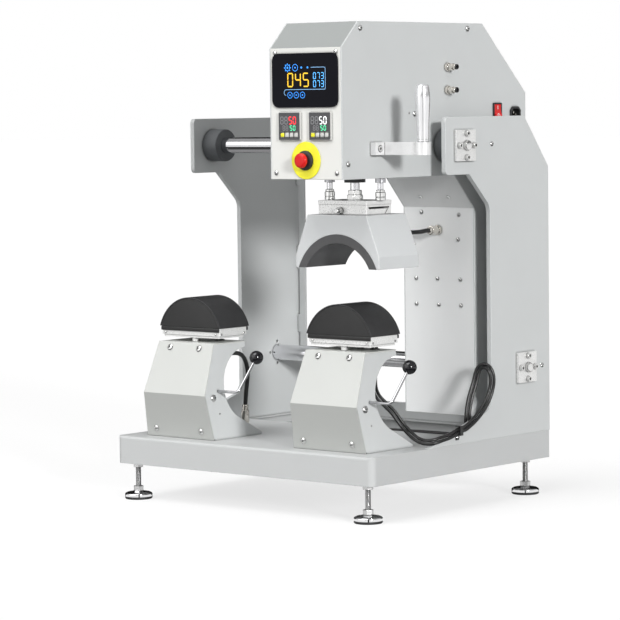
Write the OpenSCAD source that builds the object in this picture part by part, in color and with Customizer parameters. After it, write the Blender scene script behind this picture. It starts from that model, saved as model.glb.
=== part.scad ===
// Cap heat press with two stations: a heated head on a C-shaped carriage
// slides left and right on two shafts, above two heated cap platens.
// Millimetres. X to the right, Y to the back, Z up, feet on Z = 0.

/* [Frame] */
// Width of the base tray
base_w = 600; // [590:2:620]
// Depth of the base tray
base_d = 516; // [508:2:534]
// Height of the base tray's folded sheet
base_h = 50; // [46:1:54]
// Height of the tray's lower edge above the floor
foot_h = 66; // [60:1:70]
// Thickness of the two upright plates
upright_t = 9; // [8:0.5:10]
// Height of the uprights' top edge above the floor
upright_top = 690; // [684:1:700]

/* [Shafts] */
// Diameter of the two hardened shafts that the carriage slides on
shaft_d = 30; // [26:1:32]
// Height of the upper shaft's axis
upper_shaft_z = 640; // [638:1:642]
// Height of the lower shaft's axis
lower_shaft_z = 237; // [230:1:245]
// Length of a rubber bumper on the upper shaft
bumper_l = 34; // [28:1:34]

/* [Carriage] */
// Width of the carriage over its two side plates
carriage_w = 160; // [156:2:160]
// Distance between the two stations
station_gap = 350; // [346:2:350]
// Height of the carriage's top above the floor
carriage_top = 855; // [850:1:870]
// Sheet thickness of the carriage's side plates
side_t = 2.5; // [2:0.5:3]

/* [Press] */
// Stroke of the press ram
stroke = 104; // [90:1:104]
// Radius of the lower platen's curved face, pad included
platen_r = 77; // [76:0.5:77.5]
// Radius of the curved heating plate's inner face
heater_r = 78.5; // [78.5:0.5:80]
// Width of the heater cover at its lower edge
cover_w = 186; // [182:1:190]

/* [Stands] */
// Width of a stand at its top
stand_top_w = 133; // [130:1:136]
// Width of a stand at the deck
stand_foot_w = 162; // [160:1:166]
// Diameter of the ball on a clamp lever
ball_d = 25; // [20:1:26]

/* [Hidden] */
$fn = 96;

function x_sign(side) = side == "left" ? -1 : 1;

// Frame
deck_z = foot_h + base_h;
half_w = base_w / 2;
front_y = -256;
rear_y = front_y + base_d;
inner_x = half_w - upright_t;
tray_t = 3;
bay_y = 88;
bay_x = inner_x - 6;
flange_y = 247;
flange_t = 3;
flange_in = 21;
panel_y = flange_y + flange_t;
panel_top = 147;
tray_low = foot_h + tray_t;
upper_shaft_y = 7;
lower_shaft_y = 185;
shaft_r = shaft_d / 2;
shaft_fit = 0.05;
plate_side = 55;
plate_t = 6;
screw_pitch = 21;
bolt_head = 6.4;
bolt_tip = 4;
bumper_r = 30;
foot_x = half_w - 30;
foot_front_y = -232;
foot_rear_y = 224;
foot_places = [[-foot_x, foot_front_y], [foot_x, foot_front_y],
  [-foot_x, foot_rear_y], [foot_x, foot_rear_y]];

// Stations, ram and platens
station_x = station_gap / 2;
ram_y = -142;
guide_dx = 57;
ram_r = 8;
guide_r = 5;
nose_drop = 8.5;
head_floor_z = 587;
head_floor_t = 8;
slab_z = 524;
slab_t = 24;
slab_edge = 17;
plunger_at = [-3, 6.5];
cover_low = 431;
cover_skirt = 22;
cover_top_w = 131;
cover_top = 523.5;
cover_front = -193;
cover_rear = -84;
heater_axis_z = 396;
heater_out_r = 94;
platen_axis_z = heater_axis_z - stroke;
platen_low = 314;
platen_front = -192;
platen_rear = -111;
platen_plate_low = 296;
platen_skirt = [70.6, 307.5];

// Stand
stand_top = 288;
stand_sheet = 2.5;
stand_arc = [-115.6, 210.4];
stand_arc_r = 66.5;
stand_tail = [-86, 119];
lever_pivot = [-198.5, 203];
lever_reach = 121;
lever_r = 2.5;
lever_tip = [-147, 262];
cam_r = 11.5;
cam_off = 4;
post_r = 6;
post_y = [-176, -129];
post_low = [190, 268];
lead_hole_r = 6.5;

// Carriage
half_c = carriage_w / 2;
carriage_in = half_c - side_t;
skin_t = 2;
panel_face = -272;
column_y = 95;
bearing_r = 22.5;
bearing_l = 64;
display_z = 756;
display_size = [145, 92];
controller_z = 678;
controller_dx = 34;
controller_side = 48;
estop_z = 619.5;
rocker_at = [253, 166, 698];
rocker_r = 13.2;
rocker_tilt = 20;
inlet_at = [220, 694];
fitting_y = 18.5;
fitting_heights = [737, 777.5];
handle_at = [344, -165];
handle_z = 627;
handle_h = 22;
boss_r = 13.8;
flange_from = -197.5;
button_out = 19.5;
gland_at = [174.5, 486];
gland_tip = 65;

// Outline of the carriage seen from its right side, Y and Z, counter-clockwise
carriage_outline = [[panel_face, head_floor_z], [39, head_floor_z], [column_y, 527],
  [column_y, 153], [253, 153], [253, 732], [123, carriage_top],
  [-227, carriage_top], [panel_face, 811]];

// Outline of an upright, Y and Z, with the radius of each corner
upright_outline = [[-100, deck_z, 0], [rear_y, deck_z, 0], [rear_y, 598, 14],
  [187, upright_top, 14], [-45, upright_top, 8], [-45, 589, 8], [23, 589, 8],
  [83, 531, 26], [83, 170, 26]];

// The axes above are centred between the uprights. The handle and the button
// stand out of that, so the whole is moved to centre its box on the origin.
left_end = half_w + plate_t + bolt_head;
right_end = handle_at[0] + boss_r;
box_shift = [(left_end - right_end) / 2, (button_out - panel_face - rear_y) / 2, 0];

// Routes of the leads, chosen by hand: each leaves a piece and enters another
left_lead = [[-154, -133, 296], [-154, -132, 276], [-154, -122, 264], [-155, -102, 262],
  [-158, -80, 260], [-161, -63, 253], [-165, -50, 240], [-168, -42, 222], [-171, -41, 202],
  [-173.5, -41.5, 182], [-175, -42, 161]];
right_leads = [[212, -138, 296], [212, -139, 262], [211, -140, 228], [213, -134, 208],
  [221, -124, 193], [230, -112, 178], [241, -102, 157], [254, -96, 141], [268, -92, 130],
  [284, -90, 126], [297, -83, 127], [304, -66, 131], [305, -45, 134], [305, -20, 141],
  [305, 2, 145], [305, 34, 161], [306, 58, 182], [308, 70, 204], [310, 72, 224],
  [307, 70, 240], [300, 68, 247], [291, 67, 247], [284, 65, 240], [280, 59, 216],
  [278, 49, 191], [278, 42, 168], [278, 40, 144], [278, 40, 116]];
deck_lead = [[-234, 88, 92], [-234, 96, 92], [-229, 103, 96], [-218, 101, 103],
  [-204, 94, 110], [-180, 91.8, 113], [-130, 91.7, 114], [-60, 91.7, 114.5],
  [30, 91.7, 115.5], [110, 91.7, 117], [190, 91.7, 117.5], [222, 92.5, 116],
  [240, 99, 108], [252, 103, 99], [260, 97, 94], [262, 88, 93]];
heater_lead = [[174.5, 65, 486], [174.5, 57, 486], [173, 45, 484.6], [169, 22, 484.4],
  [162, -8, 486], [153, -32, 489], [141, -50, 494], [134, -66, 498], [134, -75, 498],
  [134, -84, 498]];
gland_x = left_lead[10][0];
gland_y = left_lead[10][1];
facing = [0.62, -0.78, 0.07];

function unit(v) = v / norm(v);

// Points of a round corner of radius r at b, between a and c
function corner(a, b, c, r, n = 8) =
  let (u = unit(a - b), v = unit(c - b), half = acos(u * v) / 2)
  let (m = b + unit(u + v) * r / sin(half), s = b + u * r / tan(half) - m,
       e = b + v * r / tan(half) - m, from = atan2(s[1], s[0]),
       turn = (atan2(e[1], e[0]) - from + 540) % 360 - 180)
  [for (i = [0:n]) m + r * [cos(from + turn * i / n), sin(from + turn * i / n)]];

// Outline with round corners, from corners given as [x, y, radius]
function rounded(p) = [for (i = [0:len(p) - 1])
  let (l = len(p), a = p[(i + l - 1) % l], b = p[i], c = p[(i + 1) % l])
  each b[2] == 0 ? [[b[0], b[1]]]
    : corner([a[0], a[1]], [b[0], b[1]], [c[0], c[1]], b[2])];

function round_rect(w, h, r) = rounded([[-w / 2, -h / 2, r], [w / 2, -h / 2, r],
  [w / 2, h / 2, r], [-w / 2, h / 2, r]]);

function left_normal(a, b) = let (d = unit(b - a)) [-d[1], d[0]];

// Counter-clockwise outline moved inwards by t
function inset(p, t) = [for (i = [0:len(p) - 1])
  let (l = len(p), m = left_normal(p[(i + l - 1) % l], p[i]),
       n = left_normal(p[i], p[(i + 1) % l]))
  p[i] + t * (m + n) / (1 + m * n)];

// Strip of thickness t along the outline's corners first to last
function strip(p, t, first, last) = let (q = inset(p, t), l = len(p))
  concat([for (i = [first:last]) p[i % l]], [for (i = [last:-1:first]) q[i % l]]);

// Points of a smooth curve through a route, k for each stretch
function smooth(p, k = 2) = let (n = len(p) - 1)
  concat([for (i = [0:n - 1], j = [0:k - 1])
    let (a = p[max(i - 1, 0)], b = p[i], c = p[i + 1], d = p[min(i + 2, n)], t = j / k)
    0.5 * (2 * b + (c - a) * t + (2 * a - 5 * b + 4 * c - d) * t * t
      + (3 * b - a - 3 * c + d) * t * t * t)], [p[n]]);

function along(p, i) = unit(p[min(i + 1, len(p) - 1)] - p[max(i - 1, 0)]);

// Route beside another, moved sideways as seen from the front right
function beside(p, off) = [for (i = [0:len(p) - 1])
  p[i] + off * unit(cross(along(p, i), facing))];

// Round tube along a list of points
module tube(p, r, sides = 8) {
  n = len(p);
  up = [for (i = [0:n - 1]) let (t = along(p, i), s = unit(cross(t, [0.31, 0.87, 0.38])))
    [s, cross(t, s)]];
  rings = [for (i = [0:n - 1], k = [0:sides - 1])
    p[i] + r * (up[i][0] * cos(360 * k / sides) + up[i][1] * sin(360 * k / sides))];
  skin = [for (i = [0:n - 2], k = [0:sides - 1])
    let (a = i * sides + k, b = i * sides + (k + 1) % sides)
    each [[a, a + sides, b + sides], [a, b + sides, b]]];
  caps = [[for (k = [0:sides - 1]) k], [for (k = [sides - 1:-1:0]) (n - 1) * sides + k]];
  polyhedron(rings, concat(skin, caps));
}

module placed() translate(box_shift) children();

// Solid with its outline in Y and Z, between two values of X
module slab_yz(outline, from, to) {
  translate([from, 0, 0]) rotate([90, 0, 90]) linear_extrude(to - from) polygon(outline);
}

// Solid with its outline in X and Z, between two values of Y
module slab_xz(outline, from, to) {
  translate([0, to, 0]) rotate([90, 0, 0]) linear_extrude(to - from) polygon(outline);
}

// Box between two corners
module block(low, high) {
  translate(low) cube(high - low);
}

// Cylinders along each axis, starting at a point
module rod_x(at, r, l) {
  translate(at) rotate([0, 90, 0]) cylinder(r = r, h = l);
}

module rod_y(at, r, l) {
  translate(at) rotate([-90, 0, 0]) cylinder(r = r, h = l);
}

module rod_z(at, r, l) {
  translate(at) cylinder(r = r, h = l);
}

module hex_z(at, r, l) {
  translate(at) cylinder(r = r, h = l, $fn = 6);
}

// Both shaft places, as [Y, Z]
shaft_places = [[upper_shaft_y, upper_shaft_z], [lower_shaft_y, lower_shaft_z]];
screw_offsets = [[screw_pitch, 0], [-screw_pitch, 0], [0, screw_pitch], [0, -screw_pitch]];

// Folded tray, open below, with an open bay behind the deck
// Outline of the tray from above, moved inwards by t, with its corner radii
function tray_outline(t, front_r, rear_r) = rounded([[-half_w + t, front_y + t, front_r],
  [half_w - t, front_y + t, front_r], [half_w - t, rear_y - t, rear_r],
  [-half_w + t, rear_y - t, rear_r]]);

module base_deck() color("gainsboro") placed() difference() {
  union() {
    difference() {
      intersection() {
        translate([0, 0, foot_h]) linear_extrude(base_h)
          polygon(tray_outline(0, 12, 3));
        slab_yz(rounded([[front_y, foot_h, 0], [rear_y, foot_h, 0], [rear_y, deck_z, 0],
          [front_y, deck_z, 5]]), -half_w, half_w);
      }
      translate([0, 0, tray_low]) linear_extrude(base_h - 2 * tray_t)
        polygon(tray_outline(tray_t, 9, 0));
      block([-half_w + 45, front_y + 45, foot_h - 1], [half_w - 45, rear_y - 49, tray_low + 1]);
      block([-bay_x, bay_y, deck_z - tray_t - 1], [bay_x, flange_y - 1, deck_z + 1]);
    }
    block([-half_w + 1, bay_y - tray_t, tray_low - 1], [half_w - 1, bay_y, deck_z - 1]);
  }
  for (p = foot_places) rod_z([p[0], p[1], foot_h - 1], 5.05, tray_t + 2);
  rod_z([gland_x, gland_y, deck_z - tray_t - 1], 5.1, tray_t + 2);
}

module rear_cross_panel() color("silver") placed() {
  block([-inner_x + 0.2, panel_y, deck_z], [inner_x - 0.2, panel_y + tray_t, panel_top]);
  block([-inner_x + 0.2, panel_y, panel_top - tray_t], [inner_x - 0.2, rear_y, panel_top]);
}

// Upright plate with its rear flange folded inwards and relieved by slots
module upright(side) {
  s = x_sign(side);
  mirror([s < 0 ? 1 : 0, 0, 0]) difference() {
    union() {
      slab_yz(rounded(upright_outline), inner_x, half_w);
      block([inner_x - flange_in, flange_y, deck_z], [inner_x + 1, panel_y, 596]);
    }
    for (z = [[441, 558], [306, 396], [176, 272]])
      block([inner_x - 6, flange_y - 1, z[0]], [inner_x, panel_y + 1, z[1]]);
    for (p = shaft_places) {
      rod_x([inner_x - 1, p[0], p[1]], shaft_r + shaft_fit, upright_t + 2);
      for (o = screw_offsets)
        rod_x([inner_x - 1, p[0] + o[0], p[1] + o[1]], 3.05, upright_t + 2);
    }
  }
}

module left_upright() color("lightgray") placed() upright("left");

module right_upright() color("lightgray") placed() upright("right");

module shaft(y, z) {
  difference() {
    rod_x([-half_w, y, z], shaft_r, base_w);
    for (s = [-1, 1]) rod_x([s > 0 ? half_w - 26 : -half_w - 1, y, z], 5.05, 27);
  }
}

module upper_shaft() color("whitesmoke") placed() shaft(upper_shaft_y, upper_shaft_z);

module lower_shaft() color("whitesmoke") placed() shaft(lower_shaft_y, lower_shaft_z);

module shaft_end_plates() color("gainsboro") placed() {
  for (s = [-1, 1], p = shaft_places) translate([s > 0 ? half_w : -half_w - plate_t, p[0], p[1]])
    difference() {
      rotate([90, 0, 90]) linear_extrude(plate_t) polygon(round_rect(plate_side, plate_side, 1.5));
      rod_x([-1, 0, 0], 5.3, plate_t + 2);
      for (o = screw_offsets) rod_x([-1, o[0], o[1]], 3.05, plate_t + 2);
    }
}

// Socket screws round each shaft end, and one hexagon bolt into each shaft
module shaft_end_bolts() color("silver") placed() {
  for (s = [0, 1], p = shaft_places) mirror([s, 0, 0]) {
    low = p[1] == lower_shaft_z;
    for (o = screw_offsets) translate([half_w + plate_t, p[0] + o[0], p[1] + o[1]]) {
      difference() {
        rod_x([0, 0, 0], 5, 5.5);
        rotate([0, 90, 0]) translate([0, 0, 2.5]) cylinder(r = 2.9, h = 4, $fn = 6);
      }
      rod_x([low ? -plate_t - upright_t - bolt_tip : -plate_t - upright_t, 0, 0], 3,
        plate_t + upright_t + (low ? bolt_tip : 0));
    }
    translate([half_w + plate_t, p[0], p[1]]) {
      rotate([0, 90, 0]) cylinder(r = 9.2, h = bolt_head, $fn = 6);
      rod_x([-plate_t - 24, 0, 0], 5, plate_t + 24);
    }
  }
}

module shaft_bumpers() color("dimgray") placed() {
  for (s = [0, 1]) mirror([s, 0, 0]) translate([inner_x - bumper_l, upper_shaft_y, upper_shaft_z])
    rotate([0, 90, 0]) rotate_extrude() polygon(rounded([[shaft_r + shaft_fit, 0, 0],
      [bumper_r, 0, 2], [bumper_r, bumper_l, 2], [shaft_r + shaft_fit, bumper_l, 0]]));
}

module foot_cups() color("whitesmoke") placed() {
  for (p = foot_places) translate([p[0], p[1], 0]) rotate_extrude() polygon([[0, 4], [25, 4],
    [25, 9], [22.5, 11.5], [20.5, 12], [8, 15], [5.05, 15], [5.05, 8], [0, 8]]);
}

module foot_rubbers() color("dimgray") placed() {
  for (p = foot_places) translate([p[0], p[1], 0]) rotate_extrude()
    polygon([[0, 0], [23.5, 0], [25, 1.5], [25, 4], [0, 4]]);
}

module foot_rods() color("silver") placed() {
  for (p = foot_places) rod_z([p[0], p[1], 8], 5, tray_low + 16 - 8);
}

module foot_nuts() color("silver") placed() {
  for (p = foot_places, z = [15, foot_h - 8, tray_low]) difference() {
    hex_z([p[0], p[1], z], 9.6, 8);
    rod_z([p[0], p[1], z - 1], 5.05, 10);
  }
}

// Stand: width as a function of height, between top and deck
function stand_half(z) = (stand_top_w + (stand_foot_w - stand_top_w)
  * (stand_top - z) / (stand_top - deck_z)) / 2;
stand_outline = [[-219.6, deck_z], [stand_tail[0], deck_z], stand_tail, [-114.7, stand_top],
  [-201.6, stand_top], [-236, 197]];
tail_gap = norm(stand_tail - stand_arc);
tail_turn = acos(stand_arc_r / tail_gap);
tail_aim = atan2(stand_tail[1] - stand_arc[1], stand_tail[0] - stand_arc[0]) - tail_turn;
tail_touch = stand_arc + stand_arc_r * [cos(tail_aim), sin(tail_aim)];

// Leaning sides of a stand, moved inwards by t
module stand_width(t) {
  low = deck_z - 1;
  high = stand_top + 1;
  slab_xz([[-stand_half(low) + t, low], [stand_half(low) - t, low],
    [stand_half(high) - t, high], [-stand_half(high) + t, high]], -240, -60);
}

// Round opening at the back of a stand's side
module stand_opening() {
  rod_x([-100, stand_arc[0], stand_arc[1]], stand_arc_r, 200);
  slab_yz([stand_arc, tail_touch, stand_tail, [-40, stand_tail[1]], [-40, 300],
    [-114.7, 300], [-114.7, stand_arc[1] + stand_arc_r - 0.1]], -100, 100);
}

module stand_frame() {
  difference() {
    intersection() {
      stand_width(0);
      slab_yz(inset(stand_outline, stand_sheet), -100, 100);
    }
    difference() {
      stand_width(stand_sheet);
      block([-100, -240, 0], [100, -60, deck_z + 2 * stand_sheet]);
    }
    stand_opening();
    rod_x([-100, lever_pivot[0], lever_pivot[1]], lever_r + 0.06, 200);
  }
  intersection() {
    stand_width(0);
    block([-100, -216, deck_z], [100, -90, deck_z + stand_sheet]);
  }
}

module left_stand_frame() color("gainsboro") placed() translate([-station_x, 0, 0]) stand_frame();

module right_stand_frame() color("gainsboro") placed() translate([station_x, 0, 0]) stand_frame();

// Front and top sheet of each stand, with holes for the posts and the lead
module stand_covers() color("whitesmoke") placed() difference() {
  for (s = [-1, 1]) translate([s * station_x, 0, 0]) intersection() {
    stand_width(0);
    slab_yz(strip(stand_outline, stand_sheet, 3, 6), -100, 100);
  }
  for (s = [-1, 1], y = post_y) rod_z([s * station_x, y, stand_top - 10], post_r + 0.1, 12);
  for (l = [left_lead[0], right_leads[0]])
    rod_z([l[0], l[1], stand_top - 10], lead_hole_r, 12);
}

module platen_plates() color("whitesmoke") placed() {
  for (s = [-1, 1]) translate([s * station_x, 0, 0]) {
    translate([0, 0, platen_plate_low + 4]) linear_extrude(platen_low - platen_plate_low - 4)
      translate([0, -151.5]) polygon(round_rect(140, 74, 2));
    translate([0, 0, platen_plate_low]) linear_extrude(4.01)
      translate([0, -152.5]) polygon(round_rect(134, 69, 2));
    for (i = [0, 1]) rod_z([0, post_y[i], post_low[i]], post_r,
      platen_plate_low - post_low[i] + 1);
  }
}

// Part of a cylinder along Y above a height
module arch(r, axis_z, low, from, to) {
  intersection() {
    rod_y([0, from, axis_z], r, to - from);
    block([-r - 1, from - 1, low], [r + 1, to + 1, axis_z + r + 1]);
  }
}

// Black core of each platen, with a skirt in front of and behind its plate
module platens() color("dimgray") placed() {
  for (s = [-1, 1]) translate([s * station_x, 0, 0]) {
    arch(platen_r - 3, platen_axis_z, platen_low, platen_front, platen_rear);
    for (y = [platen_front, platen_rear - 3])
      block([-platen_skirt[0], y, platen_skirt[1]], [platen_skirt[0], y + 3, platen_low + 0.1]);
  }
}

module platen_pads() color("dimgray") placed() {
  for (s = [-1, 1]) translate([s * station_x, 0, 0]) difference() {
    arch(platen_r, platen_axis_z, platen_low + 1, platen_front, platen_rear);
    rod_y([0, platen_front - 1, platen_axis_z], platen_r - 2.98,
      platen_rear - platen_front + 2);
  }
}

module left_platen_cable() color("dimgray") placed() tube(smooth(left_lead), 4);

// Cable gland through the deck, its lock nut below
module left_cable_gland() color("silver") placed() translate([gland_x, gland_y, 0]) {
  rod_z([0, 0, deck_z - 12], 5, 14);
  hex_z([0, 0, deck_z - tray_t - 5], 8.6, 5);
  hex_z([0, 0, deck_z], 8.6, 5);
  rod_z([0, 0, deck_z + 5], 6.2, 9);
  hex_z([0, 0, deck_z + 14], 7.6, 21);
  rod_z([0, 0, deck_z + 35], 5.6, 10);
}

module right_platen_cables() color("dimgray") placed() {
  for (s = [-1, 1]) tube(beside(right_leads, s * 3.1), 2.9);
}

// Clip round both leads, with its tab and screw on the upright
clip_at = right_leads[13];
module cable_clip() color("dimgray") placed() translate([half_w, clip_at[1], clip_at[2]]) {
  difference() {
    block([0, -4, -8.5], [11.4, 4, 8.5]);
    block([-1, -6, -7], [9.9, 6, 7]);
  }
  block([0, -4, -17], [1.6, 4, -8.4]);
  rod_x([1, 0, -12.5], 3, 2.6);
}

module deck_cable() color("dimgray") placed() tube(deck_lead, 3.5);

// Bent rod of a clamp lever through both sides of its stand, with the cam
// that holds the platen's front post
module clamp_lever() {
  rod_x([-78, lever_pivot[0], lever_pivot[1]], lever_r, lever_reach + 78);
  rod_x([-8, lever_pivot[0] + cam_off, lever_pivot[1]], cam_r, 16);
  translate([lever_reach, lever_pivot[0], lever_pivot[1]]) {
    sphere(r = lever_r);
    rotate([-lever_lean(), 0, 0]) cylinder(r = lever_r, h = norm(lever_tip - lever_pivot) - 9);
  }
}

function lever_lean() = atan2(lever_tip[0] - lever_pivot[0], lever_tip[1] - lever_pivot[1]);

module lever_knob() {
  translate([lever_reach, lever_tip[0], lever_tip[1]]) difference() {
    sphere(r = ball_d / 2);
    rotate([-lever_lean(), 0, 0]) translate([0, 0, -ball_d]) cylinder(r = lever_r + 0.02,
      h = ball_d - 8.98);
  }
}

module left_lever() color("silver") placed() translate([-station_x, 0, 0]) clamp_lever();

module left_lever_knob() color("dimgray") placed() translate([-station_x, 0, 0]) lever_knob();

module right_lever() color("silver") placed() translate([station_x, 0, 0]) clamp_lever();

module right_lever_knob() color("dimgray") placed() translate([station_x, 0, 0]) lever_knob();

// C-shaped side plate of the carriage, its inner face at x
module side_plate(from, to) {
  difference() {
    slab_yz(carriage_outline, from, to);
    for (p = shaft_places) rod_x([from - 1, p[0], p[1]], bearing_r + 0.3, side_t + 2);
  }
}

module left_side_plate() color("lightgray") placed()
  side_plate(station_x - half_c, station_x - carriage_in);

module right_side_plate() color("lightgray") placed() difference() {
  side_plate(station_x + carriage_in, station_x + half_c);
  block([rocker_at[0] - 20, rocker_at[1] - 11.7, rocker_at[2] - 14.7],
    [rocker_at[0] + 20, rocker_at[1] + 11.7, rocker_at[2] + 14.7]);
  translate([0, inlet_at[0], inlet_at[1]]) slab_yz(inlet_shape(27.4, 20.4, 5.6), 240, 260);
  for (z = fitting_heights) rod_x([240, fitting_y, z], 5.05, 20);
}

// Bent sheet from the rear of the column over the top to the front panel
module carriage_cover() color("gainsboro") placed()
  slab_yz(strip(carriage_outline, skin_t, 4, 8), station_x - carriage_in, station_x + carriage_in);

module control_panel() color("whitesmoke") placed() translate([station_x, 0, 0]) difference() {
  slab_yz(strip(carriage_outline, skin_t, 8, 9), -carriage_in, carriage_in);
  block([-69.7, -280, display_z - 43.2], [69.7, -260, display_z + 43.2]);
  for (s = [-1, 1]) block([s * controller_dx - 22.7, -280, controller_z - 22.7],
    [s * controller_dx + 22.7, -260, controller_z + 22.7]);
  rod_y([0, -280, estop_z], 11.1, 20);
}

// Bent sheet from under the head, down the column and under it
module throat_panel() color("silver") placed() translate([station_x, 0, 0]) difference() {
  slab_yz(strip(carriage_outline, skin_t, 1, 4), -carriage_in, carriage_in);
  rod_y([gland_at[0] - station_x, column_y - 5, gland_at[1]], 6.1, 20);
}

module head_floor() color("silver") placed() translate([station_x, 0, 0]) difference() {
  block([-carriage_in, panel_face + skin_t, head_floor_z], [carriage_in, 39, head_floor_z + head_floor_t]);
  rod_z([0, ram_y, head_floor_z - 1], 20.05, head_floor_t + 2);
  for (s = [-1, 1]) rod_z([s * guide_dx, ram_y, head_floor_z - 1], 10.05, head_floor_t + 2);
}

// Flanged ball bushings, two on each shaft
module linear_bearings() color("silver") placed() {
  for (p = shaft_places, s = [0, 1]) translate([station_x, p[0], p[1]]) mirror([s, 0, 0])
    difference() {
      union() {
        rod_x([half_c - bearing_l, 0, 0], bearing_r, bearing_l);
        rod_x([carriage_in - 8, 0, 0], 33, 8);
      }
      rod_x([0, 0, 0], shaft_r + shaft_fit, half_c + 1);
    }
}

module touch_display() color("dimgray") placed() translate([station_x, panel_face, display_z]) {
  rotate([90, 0, 0]) linear_extrude(3)
    polygon(round_rect(display_size[0], display_size[1], 13));
  block([-69.5, -0.1, -43], [69.5, 24, 43]);
}

// Panel controller with a pocket for its key mat
module controller(s) {
  translate([station_x + s * controller_dx, panel_face, controller_z]) difference() {
    union() {
      rotate([90, 0, 0]) linear_extrude(4) polygon(round_rect(controller_side, controller_side, 2));
      block([-22.5, -0.1, -22.5], [22.5, 74, 22.5]);
    }
    block([-21, -5, -20], [21, -0.8, -10]);
  }
}

module left_controller() color("dimgray") placed() controller(-1);

module right_controller() color("dimgray") placed() controller(1);

// Four keys on one thin rubber mat
module key_mat(s) {
  translate([station_x + s * controller_dx, panel_face, controller_z - 15]) {
    block([-20.6, -2.2, -4.6], [20.6, -1.5, 4.6]);
    for (k = [-1.5:1.5]) translate([k * 10.2, -2.1, 0]) rotate([90, 0, 0]) linear_extrude(2.6)
      polygon(round_rect(7.6, 6.4, 1.4));
  }
}

module left_controller_keys() color("whitesmoke") placed() key_mat(-1);

module right_controller_keys() color("whitesmoke") placed() key_mat(1);

module estop_base() color("gold") placed() translate([station_x, panel_face, estop_z])
  rotate([90, 0, 0]) difference() {
    union() {
      cylinder(r = 32, h = 1.5);
      translate([0, 0, 1.5]) cylinder(r = 17, h = 6);
      translate([0, 0, -46]) cylinder(r = 11, h = 47);
    }
    translate([0, 0, -8]) cylinder(r = 8.3, h = 20);
  }

module estop_button() color("red") placed() translate([station_x, panel_face, estop_z])
  rotate([90, 0, 0]) rotate_extrude() polygon(concat([[0, -3], [8, -3], [8, 12], [12.8, 12]],
    corner([12.8, 12], [12.8, button_out], [0, button_out], 4.5), [[0, button_out]]));

module power_switch_frame() color("dimgray") placed() translate([0, rocker_at[1], rocker_at[2]])
  rotate([90, 0, 0]) difference() {
    union() {
      translate([station_x + half_c, 0, 0]) rotate([90, 0, 90]) linear_extrude(2.5)
        polygon(round_rect(31, 25, 2));
      block([230, -14.5, -11.5], [station_x + half_c + 0.1, 14.5, 11.5]);
    }
    rod_z([rocker_at[0], 0, -9.9], rocker_r + 0.3, 19.8);
    block([rocker_at[0], -rocker_r - 0.3, -9.9], [rocker_at[0] + 10, rocker_r + 0.3, 9.9]);
  }

// Rocker with round flanks about its own level axis, its upper half pressed in at rest
module power_rocker() color("red") placed() translate(rocker_at) rotate([90, 0, 0]) intersection() {
  rod_z([0, 0, -9.6], rocker_r, 19.2);
  translate([0, 0, -9.7]) linear_extrude(19.4) polygon([[-20, -20], [20, -20],
    [4.2 + 20 * tan(rocker_tilt), -20], [4.2, 0], [4.2, 20], [-20, 20]]);
}

// Outline of the mains inlet, its two upper corners cut off by c
function inlet_shape(w, h, c) = [[-w / 2, -h / 2], [w / 2, -h / 2], [w / 2, h / 2 - c],
  [w / 2 - c, h / 2], [-w / 2 + c, h / 2], [-w / 2, h / 2 - c]];

module power_inlet() color("dimgray") placed() translate([station_x + half_c, inlet_at[0], inlet_at[1]]) {
  difference() {
    union() {
      slab_yz(inlet_shape(30, 25, 6.5), 0, 3);
      slab_yz(inlet_shape(27, 20, 5.5), -26, 0.1);
    }
    slab_yz(inlet_shape(24, 17, 5), -18, 4);
  }
  for (y = [-7, 0, 7]) block([-18.1, y - 1, y == 0 ? 0 : -4], [-2, y + 1, y == 0 ? 4.5 : 0.5]);
}

module air_fittings() color("silver") placed() {
  for (z = fitting_heights) translate([0, fitting_y, z]) difference() {
    union() {
      rod_x([238, 0, 0], 5, 34);
      translate([255, 0, 0]) rotate([0, 90, 0]) cylinder(r = 8, h = 6, $fn = 6);
      translate([246.5, 0, 0]) rotate([0, 90, 0]) cylinder(r = 8, h = 6, $fn = 6);
      rod_x([261, 0, 0], 6.2, 10);
      rod_x([271, 0, 0], 4.8, 8);
    }
    rod_x([258, 0, 0], 3, 30);
  }
}

module handle_bracket() color("whitesmoke") placed() {
  difference() {
    block([station_x + half_c, flange_from, handle_z],
      [station_x + half_c + 12, flange_from + 24.5, handle_z + handle_h]);
    rod_x([station_x + half_c + 7, flange_from + 12.9, handle_z + handle_h / 2], 6.2, 20);
    rod_x([250, flange_from + 12.9, handle_z + handle_h / 2], 3.2, 20);
  }
  block([station_x + half_c, flange_from + 24.4, handle_z],
    [handle_at[0], handle_at[1], handle_z + handle_h]);
  rod_z([handle_at[0], handle_at[1], handle_z], boss_r, handle_h);
}

module handle_grip() color("whitesmoke") placed() translate([handle_at[0], handle_at[1], handle_z + handle_h])
  rotate_extrude() polygon([[0, 0], [10, 0], [10.1, 12], [10.9, 36], [12.1, 60], [12.7, 76],
    [12.1, 84], [11, 90], [10.4, 95], [9.4, 96.6], [8, 97], [0, 97]]);

// Cylinder of the press, with its round nose under the head floor
module press_cylinder() color("dimgray") placed() translate([station_x, ram_y, 0]) difference() {
  union() {
    rod_z([0, 0, head_floor_z - nose_drop], 18.5, nose_drop);
    rod_z([0, 0, head_floor_z - 0.1], 20, head_floor_t + 0.1);
    block([-33, -33, head_floor_z + head_floor_t], [33, 33, 800]);
  }
  rod_z([0, 0, head_floor_z - nose_drop - 1], ram_r + 0.05, 40);
  rod_z([0, 0, 612], 28.05, 172);
}

module guide_bushings() color("silver") placed() {
  for (s = [-1, 1]) translate([station_x + s * guide_dx, ram_y, 0]) difference() {
    union() {
      rod_z([0, 0, head_floor_z - nose_drop], 9, nose_drop);
      rod_z([0, 0, head_floor_z - 0.1], 10, 34);
    }
    rod_z([0, 0, head_floor_z - nose_drop - 1], guide_r + 0.05, 50);
  }
}

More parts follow.
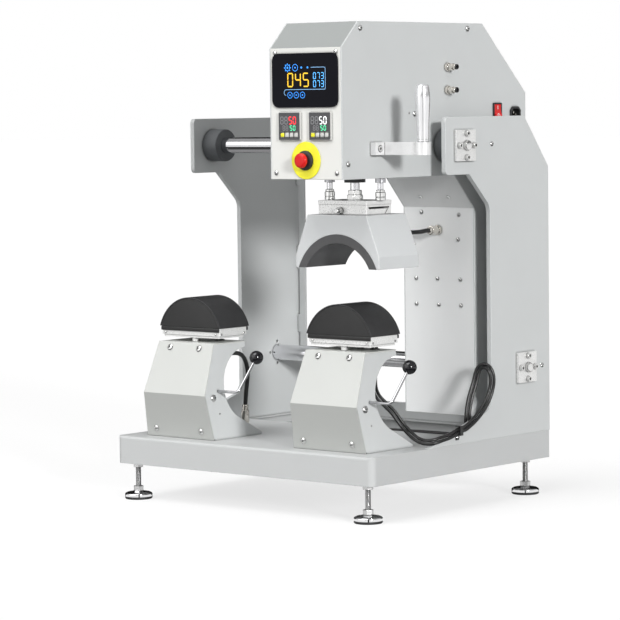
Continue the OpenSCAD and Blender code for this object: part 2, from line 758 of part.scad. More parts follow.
module heater_gland() color("silver") placed() translate([gland_at[0], 0, gland_at[1]]) {
  rod_y([0, column_y - 1, 0], 6, 12);
  translate([0, column_y, 0]) rotate([90, 0, 0]) cylinder(r = 9.4, h = 6, $fn = 6);
  rod_y([0, column_y - 15, 0], 7.4, 10);
  translate([0, column_y - 14, 0]) rotate([90, 0, 0]) cylinder(r = 8.6, h = 10, $fn = 6);
  rod_y([0, gland_tip, 0], 6, 8);
}

module heater_cable() color("dimgray") placed() tube(smooth(heater_lead), 4);

module ram_rod() color("silver") placed() translate([station_x, ram_y, 0]) {
  rod_z([0, 0, slab_z + slab_t], ram_r, 172.1);
  rod_z([0, 0, 720], 28, 18);
}

module guide_rods() color("silver") placed() {
  for (s = [-1, 1]) rod_z([station_x + s * guide_dx, ram_y, slab_z + slab_t], guide_r, 182);
}

// Lock nut on the rod, and a round nut on each guide rod
module ram_nuts() color("silver") placed() translate([station_x, ram_y, slab_z + slab_t]) {
  difference() {
    union() {
      hex_z([0, 0, 0], 15, 9);
      hex_z([0, 0, 9], 13, 8);
    }
    rod_z([0, 0, -1], ram_r + 0.05, 20);
  }
  for (s = [-1, 1]) translate([s * guide_dx, 0, 0]) difference() {
    union() {
      rod_z([0, 0, 0], 9, 14);
      rod_z([0, 0, 14], 7.5, 4);
    }
    rod_z([0, 0, -1], guide_r + 0.05, 20);
  }
}

// Aluminium slab that the heater slides into
module receiver_plate() color("whitesmoke") placed() translate([station_x, 0, slab_z]) difference() {
  translate([0, -143, 0]) {
    linear_extrude(slab_t) polygon(round_rect(107, 69, 1.5));
    translate([0, 0, slab_edge]) linear_extrude(slab_t - slab_edge) polygon(round_rect(108.4, 70.4, 1.5));
  }
  slab_yz([[-162, -1], [-124, -1], [-124, 0], [-114, 13], [-172, 13], [-162, 0]], -60, 60);
  rod_y([plunger_at[0], -179, plunger_at[1]], 4.05, 15);
}

// Dovetail bar on the heater, held in the slab by the plunger's tip
module heater_slide() color("gainsboro") placed() translate([station_x, 0, slab_z]) difference() {
  slab_yz([[-161.6, cover_top - slab_z], [-124.4, cover_top - slab_z], [-124.4, 0],
    [-117.1, 9.5], [-168.9, 9.5], [-161.6, 0]], -52, 52);
  rod_y([plunger_at[0], -170, plunger_at[1]], 2.4, 12);
}

// Outline of the heater cover from the front, moved inwards by t
function cover_outline(t) = [[-cover_w / 2 + t, cover_low], [cover_w / 2 - t, cover_low],
  [cover_w / 2 - t, cover_low + cover_skirt - t / 3], [cover_top_w / 2 - t, cover_top - t],
  [-cover_top_w / 2 + t, cover_top - t], [-cover_w / 2 + t, cover_low + cover_skirt - t / 3]];

module heater_cover() color("whitesmoke") placed() translate([station_x, 0, 0]) difference() {
  slab_xz(cover_outline(0), cover_front, cover_rear);
  slab_xz([for (p = cover_outline(2)) [p[0], p[1] == cover_low ? p[1] - 1 : p[1]]],
    cover_front + 2, cover_rear - 2);
  rod_y([0, cover_front - 1, heater_axis_z], heater_out_r + 0.1, 120);
}

module heating_plate() color("dimgray") placed() translate([station_x, 0, 0]) difference() {
  arch(heater_out_r, heater_axis_z, cover_low, cover_front + 0.5, cover_rear - 0.5);
  rod_y([0, cover_front - 1, heater_axis_z], heater_r, 120);
}

module spring_plunger() color("silver") placed()
  translate([station_x + plunger_at[0], 0, slab_z + plunger_at[1]]) {
    rod_y([0, -180, 0], 4, 9.5);
    rod_y([0, -171, 0], 2, 11);
    rod_y([0, -191, 0], 4.2, 6);
    rod_y([0, -186, 0], 6, 7.5);
  }

base_deck();
rear_cross_panel();
left_upright();
right_upright();
upper_shaft();
lower_shaft();
shaft_end_plates();
shaft_end_bolts();
shaft_bumpers();
foot_cups();
foot_rubbers();
foot_rods();
foot_nuts();
left_stand_frame();
right_stand_frame();
stand_covers();
platen_plates();
platens();
platen_pads();
left_platen_cable();
left_cable_gland();
right_platen_cables();
cable_clip();
deck_cable();
left_lever();
left_lever_knob();
right_lever();
right_lever_knob();
left_side_plate();
right_side_plate();
carriage_cover();
control_panel();
throat_panel();
head_floor();
linear_bearings();
touch_display();
left_controller();
right_controller();
left_controller_keys();
right_controller_keys();
estop_base();
estop_button();
power_switch_frame();
power_rocker();
power_inlet();
air_fittings();
handle_bracket();
handle_grip();
press_cylinder();
guide_bushings();
heater_gland();
heater_cable();
ram_rod();
guide_rods();
ram_nuts();
receiver_plate();
heater_slide();
heater_cover();
heating_plate();
spring_plunger();
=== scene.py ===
"""The looks of a cap heat press: a head that slides between two cap stands.

Sizes are written in millimetres, measured from the middle of the press's two
uprights, with X to the right, Y to the back and Z up from the floor. at()
and mm() turn them into metres, which the shared frame, the materials and the
node trees are in.
"""
import math

import bmesh
import bpy
from mathutils import Matrix, Vector


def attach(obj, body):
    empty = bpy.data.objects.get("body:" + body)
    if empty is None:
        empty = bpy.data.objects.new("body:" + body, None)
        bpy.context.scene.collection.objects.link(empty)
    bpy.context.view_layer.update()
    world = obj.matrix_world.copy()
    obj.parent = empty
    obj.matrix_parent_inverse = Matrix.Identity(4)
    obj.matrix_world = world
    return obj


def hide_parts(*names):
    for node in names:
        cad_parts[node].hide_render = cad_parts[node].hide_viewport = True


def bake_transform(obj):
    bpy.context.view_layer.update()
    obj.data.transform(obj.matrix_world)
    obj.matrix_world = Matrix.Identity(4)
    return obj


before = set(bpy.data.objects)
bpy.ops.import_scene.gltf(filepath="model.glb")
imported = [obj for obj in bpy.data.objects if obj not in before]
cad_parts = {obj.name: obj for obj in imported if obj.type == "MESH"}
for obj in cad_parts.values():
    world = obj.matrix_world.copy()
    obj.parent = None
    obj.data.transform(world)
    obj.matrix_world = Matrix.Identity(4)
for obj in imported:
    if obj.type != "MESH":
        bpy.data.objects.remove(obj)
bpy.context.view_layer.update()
scene = bpy.context.scene
scene.view_settings.view_transform = "Standard"

# Where the press's own middle lies in the shared frame
SHIFT_X = -22.7
SHIFT_Y = 15.75

FRONT = Vector((0, -1, 0))
BACK = Vector((0, 1, 0))
RIGHT = Vector((1, 0, 0))
LEFT = Vector((-1, 0, 0))
UP = Vector((0, 0, 1))
BOTH_SIDES = (-1, 1)


def at(x, y, z):
    """A place on the press, in metres of the shared frame."""
    return Vector(((x + SHIFT_X) / 1000, (y + SHIFT_Y) / 1000, z / 1000))


def mm(value):
    """Millimetres as metres."""
    return value / 1000


# Places that several pieces share
STATIONS = (-175, 175)
FEET = [(x, y) for x in (-270, 270) for y in (-232, 224)]
SHAFTS = ((7, 640), (185, 237))
PANEL_FACE = -272
HEAD_MIDDLE = 175
CONTROLLERS = (141, 209)
CONTROLLER_HEIGHT = 678
STOP_CENTRE = at(HEAD_MIDDLE, PANEL_FACE, 619.5)
RAM_TOP = at(HEAD_MIDDLE, -142, 548)


# Camera

CAMERA_TURN = 40.2
CAMERA_RISE = 4.1
CAMERA_ROLL = -0.7
CAMERA_DISTANCE = 5289
CAMERA_LENS = 168.57
AIM_HEIGHT = 341
AIM_LEFT = 38.8


def bearing(turn_from_front, rise):
    """Direction from the press, turned from its front to its right and raised, in degrees."""
    around = math.radians(turn_from_front)
    raised = math.radians(rise)
    return Vector((math.sin(around) * math.cos(raised), -math.cos(around) * math.cos(raised),
                   math.sin(raised)))


def make_camera():
    """Camera at the photograph's angle, from the front right, a little above."""
    around = math.radians(CAMERA_TURN)
    roll = math.radians(CAMERA_ROLL)
    back = bearing(CAMERA_TURN, CAMERA_RISE)
    right = Vector((math.cos(around), math.sin(around), 0))
    up = back.cross(right)
    level = right * math.cos(roll) + up * math.sin(roll)
    upright = up * math.cos(roll) - right * math.sin(roll)
    target = at(0, 0, AIM_HEIGHT) - right * mm(AIM_LEFT)
    data = bpy.data.cameras.new("camera")
    data.lens = CAMERA_LENS
    data.sensor_width = 36
    data.clip_end = 60
    camera = bpy.data.objects.new("camera", data)
    scene.collection.objects.link(camera)
    turned_view = Matrix((level, upright, back)).transposed().to_4x4()
    camera.matrix_world = Matrix.Translation(target + back * mm(CAMERA_DISTANCE)) @ turned_view
    scene.camera = camera


make_camera()


# Nodes

def set_inputs(node, inputs):
    """Constants for a node's inputs, or sockets to link them from. Colours are three numbers."""
    for key, value in inputs.items():
        socket = node.inputs[key]
        if isinstance(value, bpy.types.NodeSocket):
            node.id_data.links.new(value, socket)
        elif socket.type == "RGBA":
            socket.default_value = (*value, 1)
        else:
            socket.default_value = value


def add_node(tree, kind, inputs=None, **settings):
    """New node with its settings and inputs."""
    node = tree.nodes.new(kind)
    for key, value in settings.items():
        setattr(node, key, value)
    set_inputs(node, inputs or {})
    return node


def coordinate(tree, kind, axis):
    """One axis of a texture coordinate."""
    place = add_node(tree, "ShaderNodeTexCoord").outputs[kind]
    return add_node(tree, "ShaderNodeSeparateXYZ", {0: place}).outputs[axis]


def noise(tree, scale, detail, stretch=(1, 1, 1)):
    """Noise on the object's own coordinates, its scale in waves per metre."""
    place = add_node(tree, "ShaderNodeTexCoord").outputs["Object"]
    mapping = add_node(tree, "ShaderNodeMapping", {"Vector": place, "Scale": stretch})
    texture = add_node(tree, "ShaderNodeTexNoise",
                       {"Vector": mapping.outputs["Vector"], "Scale": scale, "Detail": detail})
    return texture.outputs["Fac"]


def spread(tree, value, low, high, start=0.3, end=0.7):
    """A value from low to high, as another goes from start to end."""
    node = add_node(tree, "ShaderNodeMapRange", {"Value": value, "From Min": start, "From Max": end,
                                                 "To Min": low, "To Max": high})
    return node.outputs["Result"]


def mixed(tree, factor, first, second):
    """Colour from first to second."""
    inputs = {"Factor": factor, "A": first, "B": second}
    return add_node(tree, "ShaderNodeMix", inputs, data_type="RGBA").outputs["Result"]


def mixed_shader(tree, factor, first, second):
    """Shader from first to second."""
    return add_node(tree, "ShaderNodeMixShader", {"Fac": factor, 1: first, 2: second}).outputs[0]


def calculated(tree, operation, first, second):
    """Two numbers worked into one."""
    return add_node(tree, "ShaderNodeMath", {0: first, 1: second}, operation=operation).outputs[0]


# Materials

PAINTED_SHADE_BLACK = (0.01, 0.01, 0.01)
EDGE_HIGHLIGHT_STRENGTH = 0.65
BAND_BLUR = 0.0004


def new_material(name):
    """Empty material with its node tree and its shader."""
    material = bpy.data.materials.new(name)
    material.use_nodes = True
    tree = material.node_tree
    return material, tree, tree.nodes["Principled BSDF"]


def eased_normal(tree, radius):
    """Normal that rounds a sheet's sharp edges."""
    return add_node(tree, "ShaderNodeBevel", {"Radius": radius}, samples=4).outputs["Normal"]


def bump(tree, height, normal, strength, distance):
    """Small relief laid over a normal."""
    inputs = {"Height": height, "Normal": normal, "Strength": strength, "Distance": distance}
    return add_node(tree, "ShaderNodeBump", inputs).outputs["Normal"]


def shade(colour, factor):
    """The same colour, lighter or darker."""
    return tuple(min(1.0, c * factor) for c in colour)


def cloudy(tree, colour, scale, detail, darker, lighter):
    """Colour that drifts a little between darker and lighter."""
    return mixed(tree, noise(tree, scale, detail), shade(colour, darker), shade(colour, lighter))


def crevice_shade(tree, colour, reach, darkest):
    """Colour darkened where other surfaces come close: painted shade in crevices and gaps."""
    gap = add_node(tree, "ShaderNodeAmbientOcclusion", {"Distance": reach}, samples=6)
    depth = spread(tree, gap.outputs["AO"], low=darkest, high=1, start=0.35, end=0.92)
    return mixed(tree, depth, PAINTED_SHADE_BLACK, colour)


def painted_edge_highlight(tree, base, eased, colour):
    """Base colour that turns paler where the eased normal leaves the flat one: a painted highlight along
    edges.
    """
    flat = add_node(tree, "ShaderNodeNewGeometry").outputs["Normal"]
    dot = add_node(tree, "ShaderNodeVectorMath", {0: eased, 1: flat}, operation="DOT_PRODUCT")
    edge = spread(tree, dot.outputs["Value"], low=1, high=0, start=0.80, end=0.995)
    return mixed(tree, spread(tree, edge, low=0, high=EDGE_HIGHLIGHT_STRENGTH, start=0.0, end=0.8), base, colour)


def powder_coat(name, colour, roughness=0.48, radius=0.0012, paler=1.22):
    """Baked powder paint: fine orange peel, faint cloudiness, a painted highlight on the edges, painted
    shade in crevices.
    """
    material, tree, shader = new_material(name)
    eased = eased_normal(tree, radius)
    base = painted_edge_highlight(tree, cloudy(tree, colour, scale=9, detail=4, darker=0.965, lighter=1.03),
                        eased, shade(colour, paler))
    peel = noise(tree, scale=620, detail=2)
    set_inputs(shader, {"Base Color": crevice_shade(tree, base, reach=0.0045, darkest=0.30),
                        "Roughness": spread(tree, peel, low=roughness - 0.05, high=roughness + 0.06),
                        "Normal": bump(tree, peel, eased, strength=0.16, distance=0.00035)})
    return material


def shade_banded_coat(name, colour, shade_band_colour, axis, border, **finish):
    """Baked powder paint with painted shade: another colour where the place along an axis is under the
    border.
    """
    material = powder_coat(name, colour, **finish)
    tree = material.node_tree
    base = tree.nodes["Principled BSDF"].inputs["Base Color"]
    band = spread(tree, coordinate(tree, "Object", axis), low=1, high=0, start=border - BAND_BLUR,
                  end=border + BAND_BLUR)
    tree.links.new(mixed(tree, band, base.links[0].from_socket, shade_band_colour), base)
    return material


def bare_metal(name, colour, roughness, stretch=(1, 1, 1), scale=900, radius=0.0006, relief=0.05,
               metallic=1.0):
    """Metal with its tool marks: fine noise drawn out across the cutting direction, and painted shade in
    crevices.
    """
    material, tree, shader = new_material(name)
    marks = noise(tree, scale=scale, detail=4, stretch=stretch)
    base = cloudy(tree, colour, scale=22, detail=3, darker=0.90, lighter=1.04)
    set_inputs(shader, {"Base Color": crevice_shade(tree, base, reach=0.0025, darkest=0.15),
                        "Metallic": metallic,
                        "Roughness": spread(tree, marks, low=roughness * 0.75, high=roughness * 1.35),
                        "Normal": bump(tree, marks, eased_normal(tree, radius), strength=relief,
                                       distance=0.0001)})
    return material


def moulded(name, colour, roughness, grain=0.10, scale=1500, radius=0.0005, specular=0.5, paler=1):
    """Moulded plastic or rubber with a fine grain, soft edges and, where asked, a painted highlight along
    them.
    """
    material, tree, shader = new_material(name)
    eased = eased_normal(tree, radius)
    fine = noise(tree, scale=scale, detail=2)
    base = painted_edge_highlight(tree, cloudy(tree, colour, scale=60, detail=3, darker=0.85, lighter=1.15),
                        eased, shade(colour, paler))
    rough = spread(tree, fine, low=roughness * 0.85, high=min(1.0, roughness * 1.15))
    set_inputs(shader, {"Base Color": base, "Specular IOR Level": specular, "Roughness": rough,
                        "Normal": bump(tree, fine, eased, strength=grain, distance=0.0002)})
    return material


def lamp_colour(name, colour, strength=1.0):
    """Lit segment or lamp behind glass."""
    material, tree, shader = new_material(name)
    lit = cloudy(tree, colour, scale=400, detail=2, darker=0.88, lighter=1.08)
    set_inputs(shader, {"Base Color": lit, "Emission Color": lit, "Emission Strength": strength,
                        "Roughness": 0.3})
    return material


# Every powder coat has a painted highlight along its edges and painted shade in its crevices.
PRESS_GREY = (0.55, 0.565, 0.565)
GREY_PAINT = powder_coat("grey_powder_coat", PRESS_GREY)
WHITE_PAINT = powder_coat("white_powder_coat", (0.74, 0.74, 0.71))
# Uprights and side plates: a broader painted highlight along their edges.
UPRIGHT_PAINT = powder_coat("upright_powder_coat", PRESS_GREY, roughness=0.48, radius=0.0018, paler=1.6)
# Painted shade: the cover's slanted front, ahead of Y -227.5, is darker than the rest of the same grey
# paint.
COVER_PAINT = shade_banded_coat("cover_powder_coat", PRESS_GREY, (0.31, 0.325, 0.32), "Y",
                          at(0, -227.5, 0).y)
# Painted shade: the stand covers' faces under Z 197, which lean down, are darker than the upper ones of the
# same paint; their edges get a painted highlight.
STAND_PAINT = shade_banded_coat("stand_powder_coat", (0.545, 0.555, 0.535), (0.43, 0.44, 0.425), "Z",
                          at(0, 0, 197).z, roughness=0.48, radius=0.0016, paler=1.5)
DECK_PAINT = powder_coat("deck_powder_coat", (0.50, 0.51, 0.51))
# Paler than the panel's white paint: painted light for the column's front, shaded by the head above it.
THROAT_PAINT = powder_coat("throat_powder_coat", (0.79, 0.80, 0.80))
# Heater cover: a broad painted highlight along its edges.
HEATER_PAINT = powder_coat("heater_powder_coat", (0.58, 0.595, 0.60), roughness=0.42, radius=0.0028,
                           paler=2.0)
SMOOTH = {"scale": 300, "radius": 0.0004, "relief": 0.02}
CHROME = bare_metal("hard_chrome", (0.80, 0.80, 0.82), roughness=0.10, stretch=(1, 30, 30), scale=500,
                    radius=0.0004, relief=0.02)
BRIGHT_CHROME = bare_metal("bright_chrome", (0.82, 0.82, 0.83), roughness=0.07, **SMOOTH)
LEVER_STEEL = bare_metal("lever_steel", (0.50, 0.50, 0.51), roughness=0.14, **SMOOTH)
ZINC = bare_metal("zinc_plate", (0.62, 0.62, 0.62), roughness=0.26)
BRIGHT_ZINC = bare_metal("bright_zinc_plate", (0.78, 0.78, 0.77), roughness=0.14)
BEARING_STEEL = bare_metal("turned_steel", (0.52, 0.52, 0.54), roughness=0.24)
MILLED_ALUMINIUM = bare_metal("milled_aluminium", (0.80, 0.80, 0.79), roughness=0.30,
                              stretch=(1, 12, 1), scale=600, radius=0.0008, relief=0.05, metallic=0.45)
POLISHED_ALUMINIUM = bare_metal("polished_aluminium", (0.84, 0.84, 0.85), roughness=0.17,
                                stretch=(1, 1, 16), scale=500, radius=0.0006, relief=0.05, metallic=0.7)
SATIN_ALUMINIUM = bare_metal("satin_aluminium", (0.80, 0.80, 0.80), roughness=0.34, stretch=(1, 1, 12),
                             scale=600, radius=0.0008, relief=0.04, metallic=0.35)
NICKEL = bare_metal("nickel_plate", (0.80, 0.76, 0.70), roughness=0.10)
# Platen cores and pads: a painted highlight along their edges.
BLACK_COAT = moulded("black_coated_aluminium", (0.022, 0.022, 0.022), roughness=0.52, grain=0.12,
                     scale=900, radius=0.0012, specular=0.3, paler=6)
SILICONE = moulded("black_silicone", (0.026, 0.026, 0.027), roughness=0.50, grain=0.18, scale=700,
                   radius=0.0014, specular=0.3, paler=7)
ANODISED = moulded("black_anodised", (0.028, 0.028, 0.030), roughness=0.38, grain=0.06)
HEATER_COAT = moulded("dark_non_stick_coat", (0.068, 0.068, 0.070), roughness=0.42, grain=0.14, scale=800)
RUBBER = moulded("black_rubber", (0.022, 0.022, 0.023), roughness=0.60, grain=0.2, scale=900)
BUMPER_RUBBER = moulded("bumper_rubber", (0.085, 0.090, 0.095), roughness=0.55, grain=0.2, scale=700)
SHEATH = moulded("cable_sheath", (0.012, 0.012, 0.012), roughness=0.34, grain=0.06, scale=1200)
BLACK_PLASTIC = moulded("black_plastic", (0.020, 0.020, 0.021), roughness=0.45)
GLOSS_BLACK = moulded("gloss_black", (0.008, 0.008, 0.010), roughness=0.08, grain=0.01)
DISPLAY_GLASS = moulded("display_glass", (0.006, 0.006, 0.009), roughness=0.12, grain=0.0, scale=1500,
                        radius=0.0008, specular=0.07)
PALE_PLASTIC = moulded("pale_plastic", (0.60, 0.60, 0.58), roughness=0.45)
KEY_RUBBER = moulded("pale_key_rubber", (0.62, 0.62, 0.60), roughness=0.5, grain=0.05)
WHITE_INK = moulded("white_ink", (0.86, 0.86, 0.85), roughness=0.4, grain=0.02)
DARK_FACE = moulded("dark_face", (0.060, 0.060, 0.064), roughness=0.35, grain=0.03)
YELLOW = moulded("yellow_plastic", (0.93, 0.84, 0.03), roughness=0.45, grain=0.05)
RED = moulded("red_plastic", (0.62, 0.012, 0.012), roughness=0.22, grain=0.03, scale=1500,
              radius=0.0005, specular=0.3)
LIT_YELLOW = lamp_colour("lit_yellow", (0.78, 0.46, 0.02), strength=0.8)
LIT_BLUE = lamp_colour("lit_blue", (0.03, 0.28, 0.90), strength=0.9)
LIT_CYAN = lamp_colour("lit_cyan", (0.10, 0.46, 0.95), strength=0.9)
LIT_PALE = lamp_colour("lit_pale_blue", (0.18, 0.36, 0.60), strength=0.8)
LIT_RED = lamp_colour("lit_red", (0.95, 0.03, 0.04), strength=0.9)
LIT_GREEN = lamp_colour("lit_green", (0.08, 0.70, 0.34), strength=0.8)
LIT_WHITE = lamp_colour("lit_white", (0.90, 0.92, 0.92), strength=0.8)
# Unlit figures keep a faint glow: painted light.
UNLIT = lamp_colour("unlit_figure", (0.22, 0.22, 0.23), strength=0.1)


# Shapes in mesh code

MERGE_DISTANCE = 0.000004
FACING_CAMERA = Vector((0.62, -0.78, 0.07))
SHARP_EDGE = 30


def square_to(axis):
    """Two directions square to an axis."""
    side = UP if abs(axis.z) < 0.9 else RIGHT
    first = side.cross(axis).normalized()
    return first, axis.cross(first)


def clean(bm):
    """Join points that coincide, and turn every face outwards."""
    bmesh.ops.remove_doubles(bm, verts=bm.verts, dist=MERGE_DISTANCE)
    bmesh.ops.recalc_face_normals(bm, faces=bm.faces)


def smooth(mesh, angle):
    """Smooth shading, but for edges sharper than an angle in degrees."""
    mesh.polygons.foreach_set("use_smooth", [True] * len(mesh.polygons))
    mesh.set_sharp_from_angle(angle=math.radians(angle))


def declare(piece, body, stands_for):
    """What a piece rides on, which solids it stands for. A blended piece has no body."""
    if body:
        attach(piece, body)
    if stands_for:
        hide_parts(*stands_for)


def finish_piece(name, bm, material, body, stands_for, angle=32):
    """Turn a mesh into a piece that rides on a body."""
    clean(bm)
    mesh = bpy.data.meshes.new(name)
    bm.to_mesh(mesh)
    bm.free()
    mesh.materials.append(material)
    smooth(mesh, angle)
    piece = bpy.data.objects.new(name, mesh)
    scene.collection.objects.link(piece)
    declare(piece, body, stands_for)
    return piece


def turn(bm, profile, place, axis, sides=48, across=0, knurl=0, teeth=0):
    """Turn a profile of (radius, height) about an axis: to a hexagon where across is given, and
    with grooves as deep as knurl where there are teeth.
    """
    first, second = square_to(axis)
    rings = []
    for radius, height in profile:
        centre = place + axis * mm(height)
        if radius <= 0:
            rings.append([bm.verts.new(centre)])
            continue
        ring = []
        for step in range(sides):
            angle = 2 * math.pi * step / sides
            reach = radius
            if across:
                wedge = (angle + math.pi / 6) % (math.pi / 3) - math.pi / 6
                reach = min(radius, across / 2 / math.cos(wedge))
            if teeth:
                reach += knurl * (math.cos(teeth * angle) - 1) / 2
            way = first * math.cos(angle) + second * math.sin(angle)
            ring.append(bm.verts.new(centre + way * mm(reach)))
        rings.append(ring)
    for low, high in zip(rings, rings[1:]):
        join_rings(bm, low, high, sides)


def join_rings(bm, low, high, sides):
    """Skin between two rings, either of which may be a single point."""
    if len(low) == 1 and len(high) == 1:
        return
    for step in range(sides):
        after = (step + 1) % sides
        if len(low) == 1:
            bm.faces.new((low[0], high[after], high[step]))
        elif len(high) == 1:
            bm.faces.new((low[step], low[after], high[0]))
        else:
            bm.faces.new((low[step], low[after], high[after], high[step]))


def turned(name, material, body, stands_for, slot, *shapes, angle):
    """Piece of turned shapes, each of them what turn() takes by name."""
    bm = bmesh.new()
    for shape in shapes:
        turn(bm, **shape)
    finish_piece(name, bm, material, body, stands_for, angle)


def arc(centre_r, centre_h, radius, start, end, steps=8):
    """Profile points of a round edge, its angles in degrees from the radius towards the height."""
    points = []
    for step in range(steps + 1):
        angle = math.radians(start + (end - start) * step / steps)
        points.append((centre_r + radius * math.cos(angle), centre_h + radius * math.sin(angle)))
    return points


def sweep(bm, points, radius, sides=16):
    """Round tube along points in metres, closed at both ends."""
    count = len(points)
    ways = []
    for index in range(count):
        before = points[max(index - 1, 0)]
        after = points[min(index + 1, count - 1)]
        ways.append((after - before).normalized())
    first = square_to(ways[0])[0]
    rings = []
    for index in range(count):
        first = (first - ways[index] * first.dot(ways[index])).normalized()
        second = ways[index].cross(first)
        ring = []
        for step in range(sides):
            angle = 2 * math.pi * step / sides
            out = first * math.cos(angle) + second * math.sin(angle)
            ring.append(bm.verts.new(points[index] + out * radius))
        rings.append(ring)
    for low, high in zip(rings, rings[1:]):
        join_rings(bm, low, high, sides)
    bm.faces.new(list(reversed(rings[0])))
    bm.faces.new(rings[-1])


def through(route, steps):
    """Smooth curve through a route, with steps points for each stretch."""
    last = len(route) - 1
    points = []
    for index in range(last):
        a = route[max(index - 1, 0)]
        b = route[index]
        c = route[index + 1]
        d = route[min(index + 2, last)]
        for step in range(steps):
            t = step / steps
            points.append(0.5 * (2 * b + (c - a) * t + (2 * a - 5 * b + 4 * c - d) * t * t
                                 + (3 * b - a - 3 * c + d) * t * t * t))
    points.append(route[last])
    return points


def beside(route, offset):
    """Route beside another, moved sideways as seen from the front right."""
    moved_route = []
    for index, point in enumerate(route):
        before = route[max(index - 1, 0)]
        after = route[min(index + 1, len(route) - 1)]
        sideways = (after - before).normalized().cross(FACING_CAMERA).normalized()
        moved_route.append(point + sideways * mm(offset))
    return moved_route


def extrude(bm, outline, place, depth, across_way=RIGHT, up_way=UP):
    """Solid from an outline of (across, up), in millimetres, as deep as given."""
    normal = across_way.cross(up_way)
    near = []
    far = []
    for across, up in outline:
        corner = place + across_way * mm(across) + up_way * mm(up)
        near.append(bm.verts.new(corner))
        far.append(bm.verts.new(corner + normal * mm(depth)))
    bm.faces.new(list(reversed(near)))
    bm.faces.new(far)
    for step in range(len(outline)):
        after = (step + 1) % len(outline)
        bm.faces.new((near[step], near[after], far[after], far[step]))


def rectangle(left, low, right, high):
    """Corners of an upright rectangle."""
    return [(left, low), (right, low), (right, high), (left, high)]


def round_corners(corners, radius, steps=5):
    """Outline with its corners rounded."""
    count = len(corners)
    outline = []
    for index in range(count):
        here = Vector(corners[index])
        back = (Vector(corners[index - 1]) - here).normalized()
        ahead = (Vector(corners[(index + 1) % count]) - here).normalized()
        half = back.angle(ahead) / 2
        middle = here + (back + ahead).normalized() * radius / math.sin(half)
        begin = here + back * radius / math.tan(half) - middle
        end = here + ahead * radius / math.tan(half) - middle
        start = math.atan2(begin.y, begin.x)
        sweep_angle = (math.atan2(end.y, end.x) - start + math.pi) % (2 * math.pi) - math.pi
        for step in range(steps + 1):
            angle = start + sweep_angle * step / steps
            outline.append((middle.x + radius * math.cos(angle), middle.y + radius * math.sin(angle)))
    return outline


def oblong(width, height, radius):
    """Rectangle with round corners about its middle."""
    w = width / 2
    h = height / 2
    return round_corners(rectangle(-w, -h, w, h), radius)


def ease(bm, width, segments=2):
    """Round every sharp edge of a mesh."""
    clean(bm)
    limit = math.radians(SHARP_EDGE)
    sharp = [e for e in bm.edges if len(e.link_faces) == 2 and e.calc_face_angle() > limit]
    bmesh.ops.bevel(bm, geom=sharp, offset=mm(width), offset_type="OFFSET", segments=segments,
                    profile=0.5, affect="EDGES", clamp_overlap=True)


# Cords

LEFT_LEAD = [at(*p) for p in (
    (-154, -133, 296), (-154, -132, 276), (-154, -122, 264), (-155, -102, 262), (-158, -80, 260),
    (-161, -63, 253), (-165, -50, 240), (-168, -42, 222), (-171, -41, 202), (-173.5, -41.5, 182),
    (-175, -42, 161))]
RIGHT_LEADS = [at(*p) for p in (
    (212, -138, 296), (212, -139, 262), (211, -140, 228), (213, -134, 208), (221, -124, 193),
    (230, -112, 178), (241, -102, 157), (254, -96, 141), (268, -92, 130), (284, -90, 126),
    (297, -83, 127), (304, -66, 131), (305, -45, 134), (305, -20, 141), (305, 2, 145),
    (305, 34, 161), (306, 58, 182), (308, 70, 204), (310, 72, 224), (307, 70, 240),
    (300, 68, 247), (291, 67, 247), (284, 65, 240), (280, 59, 216), (278, 49, 191),
    (278, 42, 168), (278, 40, 144), (278, 40, 116))]
DECK_LEAD = [at(*p) for p in (
    (-234, 88, 92), (-234, 96, 92), (-229, 103, 96), (-218, 101, 103), (-204, 94, 110),
    (-180, 91.8, 113), (-130, 91.7, 114), (-60, 91.7, 114.5), (30, 91.7, 115.5),
    (110, 91.7, 117), (190, 91.7, 117.5), (222, 92.5, 116), (240, 99, 108), (252, 103, 99),
    (260, 97, 94), (262, 88, 93))]
HEATER_LEAD = [at(*p) for p in (
    (174.5, 65, 486), (174.5, 57, 486), (173, 45, 484.6), (169, 22, 484.4), (162, -8, 486),
    (153, -32, 489), (141, -50, 494), (134, -66, 498), (134, -75, 498), (134, -84, 498))]


def lead(name, route, radius, body, node, steps):
    """Round lead along a route that goes back into the press, standing in for the CAD's cable."""
    points = through(route, steps)
    bm = bmesh.new()
    sweep(bm, points, mm(radius))
    piece = finish_piece(name, bm, SHEATH, body, (node,), angle=60)
    return piece


lead("left_platen_lead", LEFT_LEAD, radius=4, body="frame", node="left_platen_cable", steps=5)
lead("right_platen_lead_inner", beside(RIGHT_LEADS, -3.1), radius=2.9, body="frame",
     node="right_platen_cables", steps=4)
lead("right_platen_lead_outer", beside(RIGHT_LEADS, 3.1), radius=2.9, body="frame",
     node="right_platen_cables", steps=4)
lead("deck_lead", DECK_LEAD, radius=3.5, body="frame", node="deck_cable", steps=4)
heater_lead = lead("heater_lead", HEATER_LEAD, radius=4, body=None, node="heater_cable", steps=6)
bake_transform(heater_lead)


# Screws, nuts and bolts, repeated by Geometry Nodes

# Radius to the corners of a hexagon that is 1 across its flats
HEXAGON_RADIUS = 0.57735
FULL_TURN = 6.2831
RATIOS = ("Crown width", "Crown height")


def sized_tree(name, sizes):
    """Geometry Nodes tree with a geometry and named sizes as its inputs, and the inputs' sockets."""
    tree = bpy.data.node_groups.new(name, "GeometryNodeTree")
    interface = tree.interface
    interface.new_socket(name="Geometry", in_out="INPUT", socket_type="NodeSocketGeometry")
    for label, value in sizes.items():
        socket = interface.new_socket(name=label, in_out="INPUT", socket_type="NodeSocketFloat")
        socket.default_value = value
    interface.new_socket(name="Geometry", in_out="OUTPUT", socket_type="NodeSocketGeometry")
    return tree, tree.nodes.new("NodeGroupInput").outputs


